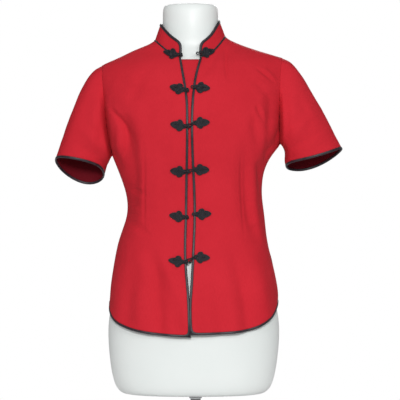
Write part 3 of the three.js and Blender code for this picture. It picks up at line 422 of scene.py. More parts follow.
# %%
# Crease tables: face (-1 front, 1 back), half width, height, skew, points (x, z)
CREASES = {
    "front_right": [
        (-1, 3.6, -2.6, 0.2, [(-160, 699), (-146, 680), (-132, 657), (-127, 640)]),
        (-1, 10, -9.0, 0.35, [(-142, 684), (-129, 654), (-127, 622), (-132, 588)]),
        (-1, 9, 1.6, 0.2, [(-176, 712), (-156, 672), (-145, 636), (-142, 606)]),
        (-1, 6, -4.0, 0, [(-172, 697), (-168, 661), (-162, 621)]),
        (-1, 8, -4.5, 0, [(-158, 618), (-147, 600), (-138, 574)]),
        (-1, 13, -4.6, -0.2, [(-112, 650), (-113, 600), (-114, 535), (-118, 461)]),
        (-1, 2.4, -1.2, 0, [(-93, 636), (-91, 585), (-92, 518), (-92, 446)]),
        (-1, 11, -4.6, 0, [(-87, 433), (-72, 393), (-64, 324), (-62, 271)]),
        (-1, 10, 3.0, 0, [(-68, 423), (-48, 385), (-21, 324), (-13, 281)]),
        (-1, 12, -3.2, 0, [(-111, 400), (-121, 338), (-126, 294)]),
        (-1, 9, 1.5, 0, [(-99, 357), (-101, 319), (-97, 275)]),
        (-1, 5, -2.0, 0, [(-128, 541), (-107, 534), (-79, 526)]),
        (-1, 5, 1.1, 0, [(-130, 511), (-111, 499), (-87, 492)]),
        (-1, 6, -2.0, 0, [(-132, 480), (-107, 469), (-79, 448)]),
        (-1, 12, -1.3, 0, [(-170, 762), (-132, 742), (-83, 708)]),
        (-1, 9, -1.1, 0, [(-79, 784), (-103, 737), (-122, 697)]),
        (-1, 9, 0.9, 0, [(-32, 780), (-36, 651), (-34, 490)]),
    ],
    "front_left": [
        (-1, 3.5, -2.4, 0, [(64, 815), (65, 773), (69, 742)]),
        (-1, 6, -1.9, 0, [(44, 800), (34, 777), (24, 754)]),
        (-1, 5, 1.2, 0, [(54, 803), (48, 762), (42, 735)]),
        (-1, 3, -2.2, 0, [(122, 773), (140, 760), (164, 741)]),
        (-1, 4, 1.0, 0, [(136, 775), (152, 758), (166, 735)]),
        (-1, 6, -1.1, 0, [(109, 754), (132, 733), (156, 708)]),
        (-1, 4, -2.6, 0, [(122, 701), (128, 686), (138, 663)]),
        (-1, 9, -6.0, 0, [(150, 726), (150, 680), (146, 630), (140, 600)]),
        (-1, 10, -4.4, 0, [(117, 682), (124, 642), (126, 610)]),
        (-1, 11, -7.5, 0.1, [(184, 672), (166, 638), (152, 606), (136, 572)]),
        (-1, 10, -4.4, -0.2, [(103, 646), (101, 585), (103, 537), (109, 488), (130, 435)]),
        (-1, 7, 3.0, 0, [(116, 590), (118, 530), (124, 476), (140, 427)]),
        (-1, 2.4, -1.2, 0, [(93, 613), (94, 556), (97, 490), (99, 446)]),
        (-1, 6, -3.4, 0, [(126, 594), (129, 572), (133, 537)]),
        (-1, 12, -5.2, 0, [(77, 427), (85, 397), (101, 324), (107, 271)]),
        (-1, 13, 3.8, 0, [(121, 427), (132, 366), (144, 298)]),
        (-1, 10, -2.6, 0, [(46, 376), (52, 328), (58, 268)]),
        (-1, 8, 1.2, 0, [(26, 400), (28, 328), (32, 271)]),
        (-1, 5, -1.2, 0, [(136, 509), (117, 513), (89, 520)]),
        (-1, 5, 1.1, 0, [(138, 482), (121, 475), (101, 463)]),
        (-1, 9, 0.9, 0, [(26, 765), (21, 651), (23, 490)]),
    ],
    "back": [
        (1, 9, -2.0, 0, [(-150, 690), (-122, 668), (-88, 655)]),
        (1, 7, 1.8, 0.2, [(-152, 668), (-126, 640), (-96, 622)]),
        (1, 6, -2.2, 0, [(-140, 622), (-116, 606), (-82, 600)]),
        (1, 9, -2.2, 0, [(152, 700), (120, 676), (84, 668)]),
        (1, 7, 1.8, 0.2, [(156, 672), (128, 646), (92, 636)]),
        (1, 6, -2.0, 0, [(142, 632), (120, 612), (90, 598)]),
        (1, 2.6, -0.9, 0, [(-72, 640), (-66, 560), (-66, 490), (-72, 420)]),
        (1, 2.6, -0.9, 0, [(74, 640), (68, 560), (68, 490), (76, 420)]),
        (1, 10, -2.2, 0, [(-44, 560), (-6, 540), (38, 552)]),
        (1, 8, 1.9, 0, [(-50, 528), (-4, 512), (46, 524)]),
        (1, 8, -2.0, 0, [(-46, 500), (2, 488), (44, 494)]),
        (1, 8, 1.4, 0, [(-40, 474), (4, 464), (36, 470)]),
        (1, 6, -1.4, 0, [(-126, 520), (-104, 512), (-80, 514)]),
        (1, 6, 1.2, 0, [(-128, 492), (-106, 482), (-84, 476)]),
        (1, 6, -1.4, 0, [(130, 508), (106, 504), (82, 510)]),
        (1, 13, -3.5, 0, [(-96, 420), (-108, 360), (-114, 298)]),
        (1, 12, 2.4, 0, [(-70, 410), (-74, 350), (-80, 268)]),
        (1, 12, -2.4, 0, [(-24, 420), (-28, 350), (-34, 258)]),
        (1, 12, 2.2, 0, [(14, 410), (12, 340), (16, 258)]),
        (1, 12, -3.4, 0, [(48, 420), (56, 350), (60, 268)]),
        (1, 12, 2.4, 0, [(96, 410), (108, 350), (116, 288)]),
        (1, 11, -1.4, 0, [(-60, 800), (-96, 760), (-130, 744)]),
        (1, 11, -1.5, 0, [(58, 800), (98, 768), (136, 756)]),
        (1, 8, 1.0, 0, [(0, 800), (-4, 740), (2, 680)]),
    ],
    "sleeve_right": [
        (-1, 12, -1.4, 0, [(-183, 747), (-201, 693), (-220, 623)]),
        (-1, 8, -2.2, 0, [(-173, 697), (-177, 644), (-181, 600)]),
        (-1, 8, 1.6, 0, [(-164, 615), (-191, 635), (-224, 662)]),
        (-1, 8, -1.5, 0, [(-168, 598), (-201, 611), (-240, 635)]),
        (-1, 9, 1.2, 0, [(-213, 728), (-228, 677), (-244, 619)]),
        (1, 10, -2.0, 0, [(-180, 740), (-196, 690), (-206, 610)]),
        (1, 8, 1.6, 0, [(-168, 630), (-196, 650), (-226, 672)]),
        (1, 8, -1.8, 0, [(-172, 606), (-204, 620), (-238, 640)]),
        (1, 10, 1.5, 0, [(-206, 740), (-222, 690), (-238, 620)]),
    ],
    "sleeve_left": [
        (-1, 11, 1.5, 0, [(193, 782), (219, 708), (246, 623)]),
        (-1, 9, -1.7, 0, [(207, 728), (222, 681), (238, 629)]),
        (-1, 7, -1.8, 0, [(179, 767), (181, 693), (187, 615)]),
        (-1, 8, 1.4, 0, [(177, 633), (207, 658), (236, 693)]),
        (-1, 7, -1.3, 0, [(181, 611), (215, 631), (254, 658)]),
        (1, 10, -2.0, 0, [(184, 752), (200, 700), (214, 630)]),
        (1, 8, 1.6, 0, [(178, 648), (206, 668), (238, 688)]),
        (1, 8, -1.8, 0, [(182, 622), (214, 640), (250, 664)]),
        (1, 10, 1.5, 0, [(208, 764), (232, 710), (254, 640)]),
    ],
    "collar": [
        (-1, 6, -0.5, 0, [(-52, 836), (-46, 826), (-40, 808)]),
        (-1, 6, -0.5, 0, [(50, 838), (44, 826), (34, 806)]),
        (1, 9, -0.8, 0, [(-28, 868), (-26, 850), (-24, 836)]),
        (1, 9, 0.7, 0, [(18, 868), (20, 852), (22, 836)]),
    ],
    "underlap": [
        (-1, 6, -1.2, 0, [(-30, 752), (-4, 754), (22, 752)]),
        (-1, 7, 1.2, 0, [(-30, 732), (-4, 728), (22, 732)]),
        (-1, 9, -0.5, 0, [(-22, 700), (-12, 600), (-16, 480)]),
    ],
}
HEM_REACH = 305         # a fold that ends below this height runs out at the hem
FLANK_PLACE = 2.1       # where a crease's flanks lie, in half widths
FLANK_SHARE = 0.28      # their height beside the crease's own
SWELL = {"front_right": 0.8, "front_left": 0.8, "back": 1.0, "sleeve_right": 0.8,
         "sleeve_left": 0.8, "collar": 0.15, "underlap": 0.4}


def curve_through(points, steps=8):
    points = np.array(points, float)
    ends = np.vstack([2 * points[0] - points[1], points, 2 * points[-1] - points[-2]])
    out = []
    for p0, p1, p2, p3 in zip(ends, ends[1:], ends[2:], ends[3:]):
        for t in np.linspace(0, 1, steps, endpoint=False):
            out.append(p1 + 0.5 * t * (p2 - p0 + t * (2 * p0 - 5 * p1 + 4 * p2 - p3
                                                      + t * (3 * p1 - p0 - 3 * p2 + p3))))
    out.append(points[-1])
    return np.array(out)


def crease_height(crease, at, facing):
    """Height of one crease, in mm, at points (x, z); `facing` is how far each looks to the back."""
    face, width, height, skew, points = crease
    line = curve_through(points)
    nearest = np.full(len(at), 1e9)
    along = np.zeros(len(at))
    for k, (start, end) in enumerate(zip(line, line[1:])):
        run = end - start
        length = np.hypot(*run)
        offset = at - start
        share = np.clip(offset @ run / length ** 2, 0, 1)
        off = offset - share[:, None] * run
        distance = np.hypot(off[:, 0], off[:, 1])
        side = np.sign(run[0] * off[:, 1] - run[1] * off[:, 0])
        closer = distance < np.abs(nearest)
        nearest = np.where(closer, distance * np.where(side == 0, 1, side), nearest)
        along = np.where(closer, (k + share) / (len(line) - 1), along)
    runs_out = points[-1][1] < HEM_REACH
    strength = np.sin(np.pi * along * (0.5 if runs_out else 1)) ** 0.8
    half = width * np.where(nearest > 0, 1 + skew, 1 - skew)
    main = np.exp(-((nearest / half) ** 2))
    flanks = sum(np.exp(-(((nearest - k * FLANK_PLACE * half) / half) ** 2)) for k in (-1, 1))
    fade = np.clip((face * facing - 0.05) / 0.3, 0, 1)
    return height * strength * (main - FLANK_SHARE * flanks) * fade * fade * (3 - 2 * fade)


def cloth_height(key, at, normals):
    """How far the cloth stands off its smooth sheet, in metres, at points in metres."""
    flat = np.stack([at[:, 0] / MM - GARMENT_X, at[:, 2] / MM], axis=1)
    total = sum(crease_height(crease, flat, normals[:, 1]) for crease in CREASES[key])
    soft = [noise.noise(Vector(p) * 17) + 0.45 * noise.noise(Vector(p) * 52) for p in at]
    return (total + SWELL[key] * np.array(soft)) * MM


print("creases", {key: len(rows) for key, rows in CREASES.items()})

# %% [markdown]
# ## The cloth panels
# Every panel keeps a map of its grain and a tree of its smooth sheet. The tree lets a binding
# find how far the cloth under it has moved, and move with it.

# %%
# Panels
BINDINGS = {
    "front_right": "front_binding_right",
    "front_left": "front_binding_left",
    "back": "back_binding",
    "sleeve_right": "cuff_binding_right",
    "sleeve_left": "cuff_binding_left",
    "collar": "collar_binding",
}
ALL_BINDINGS = tree_of(*BINDINGS.values(), "neck_piping")
CLOTH = 0.9 * MM
SEAM_FADE = 10 * MM             # creases die away over this distance to a seam
SEAM_DIP = 0.12 * MM
SEAM_DIP_REACH = 2.0 * MM
GRAIN_RADIUS = 140 * MM
# how far the lower armhole sinks, and its reach on the body and on the sleeve, in mm
VALLEYS = {"right": (17.0, 6.5, 5.5), "left": (21.0, 18.0, 4.5)}
BACK_SHARE = 0.7                # how much of that the back sinks
BACK_REACH = 9.0
SHEETS = {}


def arrays(mesh):
    at = np.empty(len(mesh.vertices) * 3)
    mesh.vertices.foreach_get("co", at)
    normals = np.empty(len(mesh.vertices) * 3)
    mesh.vertices.foreach_get("normal", normals)
    return at.reshape(-1, 3), normals.reshape(-1, 3)


def mesh_tree(mesh):
    return BVHTree.FromPolygons([tuple(vert.co) for vert in mesh.vertices],
                                [tuple(polygon.vertices) for polygon in mesh.polygons])


def seam_distance(mesh, at):
    """How far each point is from the panel's seams, where no binding covers its border."""
    shape = bmesh.new()
    shape.from_mesh(mesh)
    seams = [vert.co.copy() for vert in shape.verts
             if vert.is_boundary and ALL_BINDINGS.find_nearest(vert.co)[3] > 2 * MM]
    shape.free()
    if not seams:
        return np.full(len(at), 1.0)
    tree = KDTree(len(seams))
    for index, spot in enumerate(seams):
        tree.insert(spot, index)
    tree.balance()
    return np.array([tree.find(Vector(p))[2] for p in at])


def ease(value):
    value = np.clip(value, 0, 1)
    return value * value * (3 - 2 * value)


def armhole_valley(key, at, away):
    """The lower armhole sinks towards the middle of the body, and the sleeve rounds over into it."""
    x, y, z = at[:, 0] / MM - GARMENT_X, at[:, 1] / MM, at[:, 2] / MM
    if key == "back":
        depth = np.where(x > 0, VALLEYS["left"][0], VALLEYS["right"][0]) * BACK_SHARE
        reach = BACK_REACH
    else:
        depth, on_body, on_sleeve = VALLEYS["left" if key.endswith("left") else "right"]
        reach = on_sleeve if key.startswith("sleeve") else on_body
    where = ease((742 - z) / 80) * ease(np.abs(y) / 18) * ease((np.abs(x) - 138) / 14)
    sink = depth * where * np.exp(-((away / MM / reach) ** 2))
    return -np.sign(y) * sink * MM


# how the wearer's left edge lies below the last frog: height, shift across in mm
OPENING = [(258, -3.1), (309, -3.1), (332, -2.3), (347, -1.0), (366, 0.2), (400, 1.1), (440, 0)]
OPENING_REACH = (12, 60)        # full shift up to the first x, none beyond the second
OVERLAP_LIFT = 0.45             # how far the edge stands out as it crosses the other, per mm of shift


def opening_shift(at):
    """Below the last frog the wearer's left edge parts from the right one, then laps over it."""
    x, z = at[:, 0] / MM - GARMENT_X, at[:, 2] / MM
    near, far = OPENING_REACH
    shift = np.interp(z, *zip(*OPENING), right=0) * ease((far - x) / (far - near))
    return np.stack([shift, np.minimum(shift, 0) * OVERLAP_LIFT, 0 * z], axis=1) * MM


def map_grain(mesh, origin, axis):
    """Lays the weave round an axis: the turn becomes a length, and the height stays one."""
    layer = mesh.uv_layers.new(name="weave")
    right = (Vector((1, 0, 0)) - axis * axis.x).normalized()
    ahead = axis.cross(right)
    for polygon in mesh.polygons:
        centre = polygon.center - origin
        middle = math.atan2(centre.dot(ahead), centre.dot(right))
        for loop in polygon.loop_indices:
            spot = mesh.vertices[mesh.loops[loop].vertex_index].co - origin
            turn = math.atan2(spot.dot(ahead), spot.dot(right)) - middle
            turn = middle + (turn + math.pi) % (2 * math.pi) - math.pi
            layer.data[loop].uv = (turn * GRAIN_RADIUS, spot.dot(axis))


GRAIN = {
    "sleeve_right": (place(-220, 3, 583), (place(-172, 0, 708) - place(-220, 3, 583)).normalized()),
    "sleeve_left": (place(239, 3, 601), (place(172, 0, 708) - place(239, 3, 601)).normalized()),
}
UPRIGHT = (place(0, 0, 0), Vector((0, 0, 1)))


def add_panel(key):
    shape = welded(key)
    keep_outer_wall(shape)
    bmesh.ops.join_triangles(shape, faces=shape.faces, angle_face_threshold=math.pi,
                             angle_shape_threshold=math.pi)
    shape.normal_update()
    move_border(shape, ALL_BINDINGS)
    pin_corners(shape)
    pin(shape, SEAM_ENDS, PIN_REACH)
    mesh = smoothed(key + "_cloth", shape, 3)
    at, normals = arrays(mesh)
    SHEETS[key] = mesh_tree(mesh)
    map_grain(mesh, *GRAIN.get(key, UPRIGHT))
    away = seam_distance(mesh, at)
    height = cloth_height(key, at, normals) * ease(away / SEAM_FADE)
    height -= SEAM_DIP * np.exp(-((away / SEAM_DIP_REACH) ** 2))
    moved = at + normals * height[:, None]
    moved[:, 1] += armhole_valley(key, at, away)
    if key == "front_left":
        moved += opening_shift(moved)
    mesh.vertices.foreach_set("co", moved.ravel())
    mesh.materials.append(RED)
    mesh.materials.append(INSIDE_SHADE)
    area = sum(polygon.area for polygon in mesh.polygons)
    panel = link(key + "_cloth", mesh)
    solid = panel.modifiers.new("thickness", "SOLIDIFY")
    solid.thickness = CLOTH
    solid.offset = -1
    # the inner wall takes the red painted darker as painted shade
    solid.material_offset = 1
    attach(panel, "root")
    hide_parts(key)
    print(key, len(mesh.polygons), "faces, area", round(area, 4))
    return panel


panels = {key: add_panel(key) for key in (*BINDINGS, "underlap")}

# %% [markdown]
# ## Bindings and piping
# A binding is a bias strip of satin folded round the edge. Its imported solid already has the
# folded section, so a welded copy is only rounded, swollen a little to make up for what the
# subdivision takes off, and moved with the cloth.

# %%
# Bindings
def settle(mesh, key):
    """Moves a mesh with the cloth that carries it."""
    at, _ = arrays(mesh)
    found = [SHEETS[key].find_nearest(Vector(p)) for p in at]
    spots = np.array([spot for spot, _, _, _ in found])
    facing = np.array([normal for _, normal, _, _ in found])
    at += facing * cloth_height(key, spots, facing)[:, None]
    mesh.vertices.foreach_set("co", at.ravel())


def add_trim(node, key, swell, crease=0.25):
    shape = welded(node)
    bmesh.ops.join_triangles(shape, faces=shape.faces, angle_face_threshold=FLAT_TURN,
                             angle_shape_threshold=math.pi)
    if crease:
        crease_edges(shape, crease)
    pin(shape, HEM_CORNERS, HEM_PIN_REACH)
    pin(shape, SEAM_ENDS, PIN_REACH)
    mesh = smoothed(node + "_satin", shape, 2)
    at, normals = arrays(mesh)
    mesh.vertices.foreach_set("co", (at + normals * swell * MM).ravel())
    if key:
        settle(mesh, key)
    if key == "front_left":
        at, _ = arrays(mesh)
        mesh.vertices.foreach_set("co", (at + opening_shift(at)).ravel())
    mesh.materials.append(SATIN)
    trim = link(node + "_satin", mesh)
    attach(trim, "root")
    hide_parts(node)
    print(node, len(mesh.polygons), "faces")
    return trim


trims = {node: add_trim(node, key, 0.5 if key == "collar" else 0.28) for key, node in BINDINGS.items()}
trims["neck_piping"] = add_trim("neck_piping", None, 0.95, crease=0)

# %% [markdown]
# ## Frogs
# A frog is a pair of leaves of satin-covered cord, with a ball knot on the wearer's right and a
# loop on the wearer's left. Each leaf is five flat spirals that overlap and lie on the cloth.

# %%
# Cords
# right leaf, left leaf and whether they are fastened; a leaf is its inner end (x, z) and how far
# its outer end tips up, in degrees
FROGS = [
    ("frog_1", (-26.5, 797.5, 12), (14.5, 800.5, 9), False),
    ("frog_2", (-14, 727, 13), (4.5, 733.5, -8), False),
    ("frog_3", (-12.5, 658, 9), (3.4, 664.5, 2), True),
    ("frog_4", (-12.8, 572.3, 4), (3.2, 577, -2), True),
    ("frog_5", (-14.5, 485.5, 8), (6.5, 491.5, 1), False),
    ("frog_6", (-15.5, 401, 5), (3.8, 410.5, -5), True),
]
CORD_RADIUS = 1.15
# each coil: centre along and across the leaf, half axes, its own turn in degrees, lift and how
# much it tapers outwards
LOBES = [
    (13.0, 0.0, 11.5, 7.2, 0, -0.7, 0.25),
    (5.4, 0.0, 5.6, 5.4, 0, 0.2, 0.1),
    (11.3, 5.0, 6.0, 6.3, 65, 0.5, 0.22),
    (12.0, -5.4, 6.2, 6.6, -70, 0.7, 0.22),
    (20.0, 0.2, 9.6, 6.8, 0, 1.2, 0.40),
]
COIL_PITCH = 2.05
COIL_HEART = 0.7
COIL_RISE = 0.8         # how much the heart of a coil stands over its rim
COIL_STEPS = 18         # points a winding
LUMPS = 0.09            # how much the coils differ from leaf to leaf
BALL = 3.2
BALL_TILT = 1.2
FRONT_DEPTH = 115       # about how far the front stands before the middle, in mm


def ground():
    shapes = bmesh.new()
    depsgraph = bpy.context.evaluated_depsgraph_get()
    for key in ("front_right", "front_left", "collar"):
        shapes.from_mesh(panels[key].evaluated_get(depsgraph).data)
    for node in ("front_binding_right", "front_binding_left", "neck_piping"):
        shapes.from_mesh(trims[node].data)
    tree = BVHTree.FromBMesh(shapes)
    shapes.free()
    return tree


GROUND = ground()


def on_cloth(x, z, height):
    """A place above the cloth at (x, z), or level with the nearest cloth where there is none."""
    spot, normal, _, _ = GROUND.ray_cast(place(x, -300, z), Vector((0, 1, 0)))
    if spot is None:
        over = place(x, -FRONT_DEPTH, z)
        spot, normal, _, _ = GROUND.find_nearest(over)
        spot = Vector((over.x, spot.y, over.z))
    if normal.y > 0:
        normal = -normal
    return spot + normal * height * MM


def cord_mesh(name, paths, radius, cyclic=False):
    curve = bpy.data.curves.new(name, "CURVE")
    curve.dimensions = "3D"
    curve.bevel_depth = radius * MM
    curve.bevel_resolution = 2
    curve.resolution_u = 2
    curve.use_fill_caps = True
    for path in paths:
        spline = curve.splines.new("NURBS")
        spline.points.add(len(path) - 1)
        for point, spot in zip(spline.points, path):
            point.co = (*spot, 1)
        spline.order_u = 3
        spline.use_endpoint_u = not cyclic
        spline.use_cyclic_u = cyclic
    thing = link(name, curve)
    depsgraph = bpy.context.evaluated_depsgraph_get()
    mesh = bpy.data.meshes.new_from_object(thing.evaluated_get(depsgraph))
    bpy.data.objects.remove(thing)
    bpy.data.curves.remove(curve)
    mesh.name = name
    mesh.materials.clear()
    mesh.shade_smooth()
    return mesh


def add_cord(name, meshes, node):
    shape = bmesh.new()
    for mesh in meshes:
        shape.from_mesh(mesh)
        bpy.data.meshes.remove(mesh)
    final = bpy.data.meshes.new(name)
    shape.to_mesh(final)
    shape.free()
    final.materials.append(CORD)
    piece = link(name, final)
    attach(piece, "root")
    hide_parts(node)


def leaf_place(leaf, sign, along, across, height):
    x, z, tip = leaf
    tilt = math.radians(tip)
    return on_cloth(x + sign * (along * math.cos(tilt) - across * math.sin(tilt)),
                    z + along * math.sin(tilt) + across * math.cos(tilt), height)


def coil_path(leaf, sign, lobe, uneven):
    """One flat spiral from its rim to its heart."""
    along, across, long_axis, short_axis, turned, lift, taper = lobe
    long_axis, short_axis = long_axis * (1 + uneven), short_axis * (1 - uneven)
    turned = math.radians(turned)
    depth = short_axis - COIL_HEART
    path = []
    for share in np.linspace(0, 1, round(COIL_STEPS * depth / COIL_PITCH)):
        turn = math.pi + share * depth / COIL_PITCH * 2 * math.pi
        u = (long_axis - share * depth) * math.cos(turn)
        v = (short_axis - share * depth) * math.sin(turn) * (1 - taper * math.cos(turn))
        path.append(leaf_place(leaf, sign, along + u * math.cos(turned) - v * math.sin(turned),
                               across + u * math.sin(turned) + v * math.cos(turned),
                               CORD_RADIUS + lift + COIL_RISE * share))
    return path


def leaf_paths(leaf, sign):
    """The coils, the two cords that lead to the opening, and the turns that bind them."""
    paths = []
    for index, lobe in enumerate(LOBES):
        uneven = LUMPS * 2 * noise.noise(Vector((leaf[0] * 0.37, leaf[1] * 0.11, index * 1.7)))
        paths.append(coil_path(leaf, sign, lobe, uneven))
    for side in (-1, 1):
        paths.append([leaf_place(leaf, sign, along, side * across, CORD_RADIUS + 1.2)
                      for along, across in ((-1.5, 1.2), (1, 1.2), (3, 1.3), (5.5, 2.4), (8, 4.6))])
    for along in (0.2, 2.3):
        paths.append([leaf_place(leaf, sign, along, 3.0 * math.cos(turn),
                                 CORD_RADIUS + 0.6 + 2.3 * math.sin(turn))
                      for turn in np.linspace(0, math.pi, 9)])
    return paths


def loop_path(start, end, fastened):
    """Two cords side by side that part round the neck of a knot, or end in a small open bow."""
    run = end - start
    aside = run.cross(Vector((0, 1, 0))).normalized() * MM
    back = Vector((0, 1.6 * MM if fastened else 0, 0))
    wide = 3.4 if fastened else 2.1
    half = [(0.0, 1.15), (0.3, 1.15), (0.55, 1.4), (0.8, wide), (1.02, wide), (1.2, 0.55 * wide)]
    path = [start + run * share + aside * side + back * share for share, side in half]
    return path + [start + run * 1.26 + back] + [
        start + run * share - aside * side + back * share for share, side in reversed(half)]


def ball_path(centre):
    """A closed winding that goes over and under itself round a ball."""
    path = []
    for turn in np.linspace(0, 2 * math.pi, 72, endpoint=False):
        level = 0.95 * math.sin(4 * turn)
        reach = (BALL + 0.35 * math.sin(8 * turn + 0.8)) * MM
        spot = Vector((math.cos(level) * math.cos(3 * turn), math.cos(level) * math.sin(3 * turn),
                       math.sin(level)))
        path.append(centre + Matrix.Rotation(BALL_TILT, 3, "Y") @ spot * reach)
    return path


def core_mesh(name, centre):
    shape = bmesh.new()
    bmesh.ops.create_uvsphere(shape, u_segments=16, v_segments=10, radius=BALL * MM,
                              matrix=Matrix.Translation(centre))
    mesh = bpy.data.meshes.new(name)
    shape.to_mesh(mesh)
    shape.free()
    mesh.shade_smooth()
    return mesh


def add_frog(name, right, left, fastened):
    for side, leaf, sign in (("right", right, -1), ("left", left, 1)):
        paths = leaf_paths(leaf, sign)
        leaf_mesh = cord_mesh(name, paths, CORD_RADIUS)
        add_cord(f"{name}_leaf_{side}_cord", [leaf_mesh], f"{name}_leaf_{side}")
    low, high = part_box(name + "_knot")
    level = (low.y + high.y) / 2 / MM
    centre = place(right[0] + 4.6, level, right[1] + 0.3)
    stem = [place(right[0] - 1, level + 0.6, right[1]), centre]
    meshes = [cord_mesh(name, [ball_path(centre)], 1.0, cyclic=True),
              cord_mesh(name, [stem], 1.5), core_mesh(name, centre)]
    add_cord(name + "_knot_cord", meshes, name + "_knot")
    low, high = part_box(name + "_loop")
    start = place(left[0] + 1.5, (low.y + high.y) / 2 / MM, left[1])
    end = centre if fastened else start - Vector((6.6 * MM, 0, 0))
    loop_mesh = cord_mesh(name, [loop_path(start, end, fastened)], 1.1)
    add_cord(name + "_loop_cord", [loop_mesh], name + "_loop")


for row in FROGS:
    add_frog(*row)
print("frogs", len(FROGS))

# %% [markdown]
# ## Stitches
# The bindings are sewn down by machine, so a row of short stitches runs on the cloth beside
# each one. The row follows the panel's own border, and each stitch dips into the cloth at its ends.

# %%
# Stitches beside the bindings
STITCH_PITCH = 2.8 * MM
STITCH_LENGTH = 1.9 * MM
STITCH_RADIUS = 0.17
STITCH_CLEAR = 0.7 * MM      # how far beside the binding the row runs


def way_inwards(vert):
    (one, _), (other, _) = border_sides(vert)
    return -(one + other).normalized()


def border_chains(shape):
    """The border points of a sheet, in order, with the way inwards at each."""
    left = dict.fromkeys(vert for vert in shape.verts if len(border_sides(vert)) == 2)
    while left:
        vert = next(iter(left))
        chain = []
        while vert is not None:
            left.pop(vert)
            chain.append((vert.co.copy(), way_inwards(vert)))
            others = [edge.other_vert(vert) for edge in vert.link_edges if edge.is_boundary]
            vert = next((other for other in others if other in left), None)
        yield chain


def beside_binding(spot, inwards, cloth, binding):
    """The first place inwards from the border that the binding leaves free."""
    for step in np.arange(1, 9, 0.4):
        at, normal, _, _ = cloth.find_nearest(spot + inwards * step * MM)
        skin, outwards, _, distance = binding.find_nearest(at)
        if distance > STITCH_CLEAR and (at - skin).dot(outwards) > 0:
            return at, normal
    return None


def stitch_rows(shape, binding):
    cloth = BVHTree.FromBMesh(shape)
    rows = []
    for chain in border_chains(shape):
        row = []
        for spot, inwards in chain:
            covered = binding.find_nearest(spot)[3] < 1.5 * MM
            found = beside_binding(spot, inwards, cloth, binding) if covered else None
            if found:
                row.append(found)
            elif row:
                rows.append(row)
                row = []
        rows.append(row)
    return [row for row in rows if len(row) > 3]


def stitches_along(row):
    """Short paths at an even pitch along a row, dipping at both ends."""
    reach = np.cumsum([0] + [(b[0] - a[0]).length for a, b in zip(row, row[1:])])
    places = np.array([at for at, _ in row])
    normals = np.array([normal for _, normal in row])

    def spot(along, height):
        at = [np.interp(along, reach, places[:, k]) for k in range(3)]
        up = [np.interp(along, reach, normals[:, k]) for k in range(3)]
        return Vector(at) + Vector(up).normalized() * height * MM

    starts = np.arange(1 * MM, reach[-1] - STITCH_LENGTH, STITCH_PITCH)
    return [[spot(start, -0.1), spot(start + STITCH_LENGTH / 2, 0.22),
             spot(start + STITCH_LENGTH, -0.1)] for start in starts]


def add_stitches(key):
    shape = bmesh.new()
    shape.from_mesh(panels[key].data)
    binding = mesh_tree(trims[BINDINGS[key]].data)
    paths = sum((stitches_along(row) for row in stitch_rows(shape, binding)), [])
    shape.free()
    mesh = cord_mesh(key + "_stitches", paths, STITCH_RADIUS)
    mesh.materials.append(RED_THREAD)
    thread = link(key + "_stitches", mesh)
    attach(thread, "root")
    print(key, len(paths), "stitches")
    return thread


stitches = {key: add_stitches(key) for key in BINDINGS}

# %% [markdown]
# ## Form and stand
# The form's rings are welded and subdivided. The pole, the ferrule and the base are turned from
# their profiles, with small rounded edges.

# %%
# Form and stand pieces
def add_form():
    shape = welded("dress_form")
    bmesh.ops.join_triangles(shape, faces=shape.faces, angle_face_threshold=math.pi,
                             angle_shape_threshold=math.pi)
    mesh = smoothed("dress_form_shell", shape, 2)
    mesh.materials.append(FORM)
    form = link("dress_form_shell", mesh)
    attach(form, "root")
    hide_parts("dress_form")
    print("form", len(mesh.polygons), "faces")


def add_turned(name, node, material, profile, rounding):
    shape = bmesh.new()
    verts = [shape.verts.new((radius * MM, 0, z * MM)) for radius, z in profile]
    edges = [shape.edges.new(pair) for pair in zip(verts, verts[1:])]
    bmesh.ops.spin(shape, geom=verts + edges, cent=(0, 0, 0), axis=(0, 0, 1), angle=2 * math.pi,
                   steps=96, use_merge=True)
    bmesh.ops.remove_doubles(shape, verts=shape.verts, dist=WELD)
    bmesh.ops.recalc_face_normals(shape, faces=shape.faces)
    mesh = bpy.data.meshes.new(name)
    shape.to_mesh(mesh)
    shape.free()
    mesh.shade_smooth()
    mesh.materials.append(material)
    piece = link(name, mesh)
    bevel = piece.modifiers.new("rounding", "BEVEL")
    bevel.width = rounding * MM
    bevel.segments = 3
    bevel.limit_method = "ANGLE"
    bevel.angle_limit = math.radians(30)
    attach(piece, "root")
    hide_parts(node)
    print(name, len(mesh.polygons), "faces")


add_form()
add_turned("pole_tube", "pole", CHROME, [(0, 14), (10, 14), (10, 196), (0, 196)], 0.4)
add_turned("ferrule_ring", "ferrule", CHROME,
           [(10.4, 130), (12.5, 130), (12.5, 133.4), (11.7, 133.8), (11.7, 135.2), (12.5, 135.6),
            (12.5, 139.6), (10.4, 139.6), (10.4, 130)], 0.3)
add_turned("stand_base_plate", "stand_base", STEEL,
           [(0, 0), (148, 0), (150, 2), (150, 5), (147, 7), (27, 10), (24, 13), (22, 26),
            (10.4, 26), (10.4, 13.7), (0, 13.7)], 0.6)

# %% [markdown]
# ## Studio
# A round pale floor whose rim fades to white, in a white surrounding, with three lights in front,
# one overhead and one behind. No wall stands behind the form, so it can be seen from all sides.

# %%
# Floor, surrounding and lights
FLOOR_RADIUS = 0.95
FLOOR_FADE = (0.45, 0.9)        # where the floor starts to glow, and where it is all white
SURROUNDING = 0.24              # what the surrounding gives to the cloth, beside what is seen of it


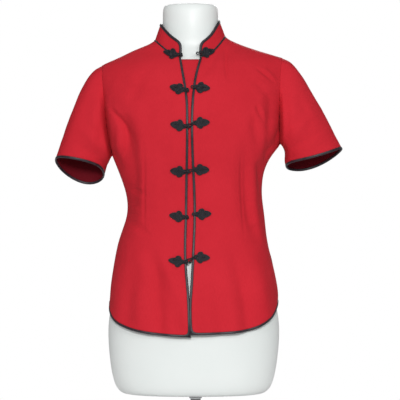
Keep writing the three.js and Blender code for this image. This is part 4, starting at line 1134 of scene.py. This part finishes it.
def floor_look():
    """Pale in the middle, and glowing white at the rim."""
    look = Look("studio_floor", Roughness=0.9, Specular_IOR_Level=0.1, Emission_Strength=1.0)
    reach = look.node("ShaderNodeVectorMath", "Value", {0: look.space()}, operation="LENGTH")
    glow = look.spread(reach, *FLOOR_FADE, 0.0, 1.0)
    look.feed(look.surface.inputs["Emission Color"], look.blend(glow, (0, 0, 0, 1), (1, 1, 1, 1)))
    return look.paint(look.blend(glow, (0.86, 0.86, 0.86, 1), (0, 0, 0, 1)))


def add_floor():
    shape = bmesh.new()
    bmesh.ops.create_circle(shape, cap_ends=True, segments=128, radius=FLOOR_RADIUS,
                            matrix=Matrix.Translation((0, 0, -0.0005)))
    mesh = bpy.data.meshes.new("studio_floor")
    shape.to_mesh(mesh)
    shape.free()
    mesh.materials.append(floor_look())
    link("studio_floor", mesh)


def add_surrounding():
    world = bpy.data.worlds.new("surrounding")
    bpy.context.scene.world = world
    world.use_nodes = True
    tree = world.node_tree
    seen = tree.nodes.new("ShaderNodeLightPath").outputs["Is Camera Ray"]
    strength = tree.nodes.new("ShaderNodeMapRange")
    strength.inputs["To Min"].default_value = SURROUNDING
    tree.links.new(seen, strength.inputs["Value"])
    sky = tree.nodes["Background"]
    sky.inputs["Color"].default_value = (1, 1, 1, 1)
    tree.links.new(strength.outputs["Result"], sky.inputs["Strength"])


def add_light(name, at, target, size, power):
    data = bpy.data.lights.new(name, "AREA")
    data.shape = "RECTANGLE"
    data.size, data.size_y = size
    data.energy = power
    lamp = link(name, data)
    lamp.location = at
    lamp.rotation_euler = (Vector(target) - Vector(at)).to_track_quat("-Z", "Y").to_euler()


add_floor()
add_surrounding()
add_light("key", (1.2, -2.8, 1.6), (0, 0, 0.4), (0.8, 1.0), 22)
add_light("fill", (-1.4, -2.8, 1.4), (0, 0, 0.4), (1.0, 1.2), 11)
add_light("front", (0.0, -3.2, 1.2), (0, 0, 0.35), (0.4, 0.4), 52)
add_light("top", (0, -0.7, 2.4), (0, 0, 0.4), (1.2, 0.8), 4)
add_light("behind", (0.3, 2.8, 1.7), (0, 0, 0.5), (1.4, 1.0), 30)
bpy.context.scene.view_settings.view_transform = "Standard"
print("studio ready")
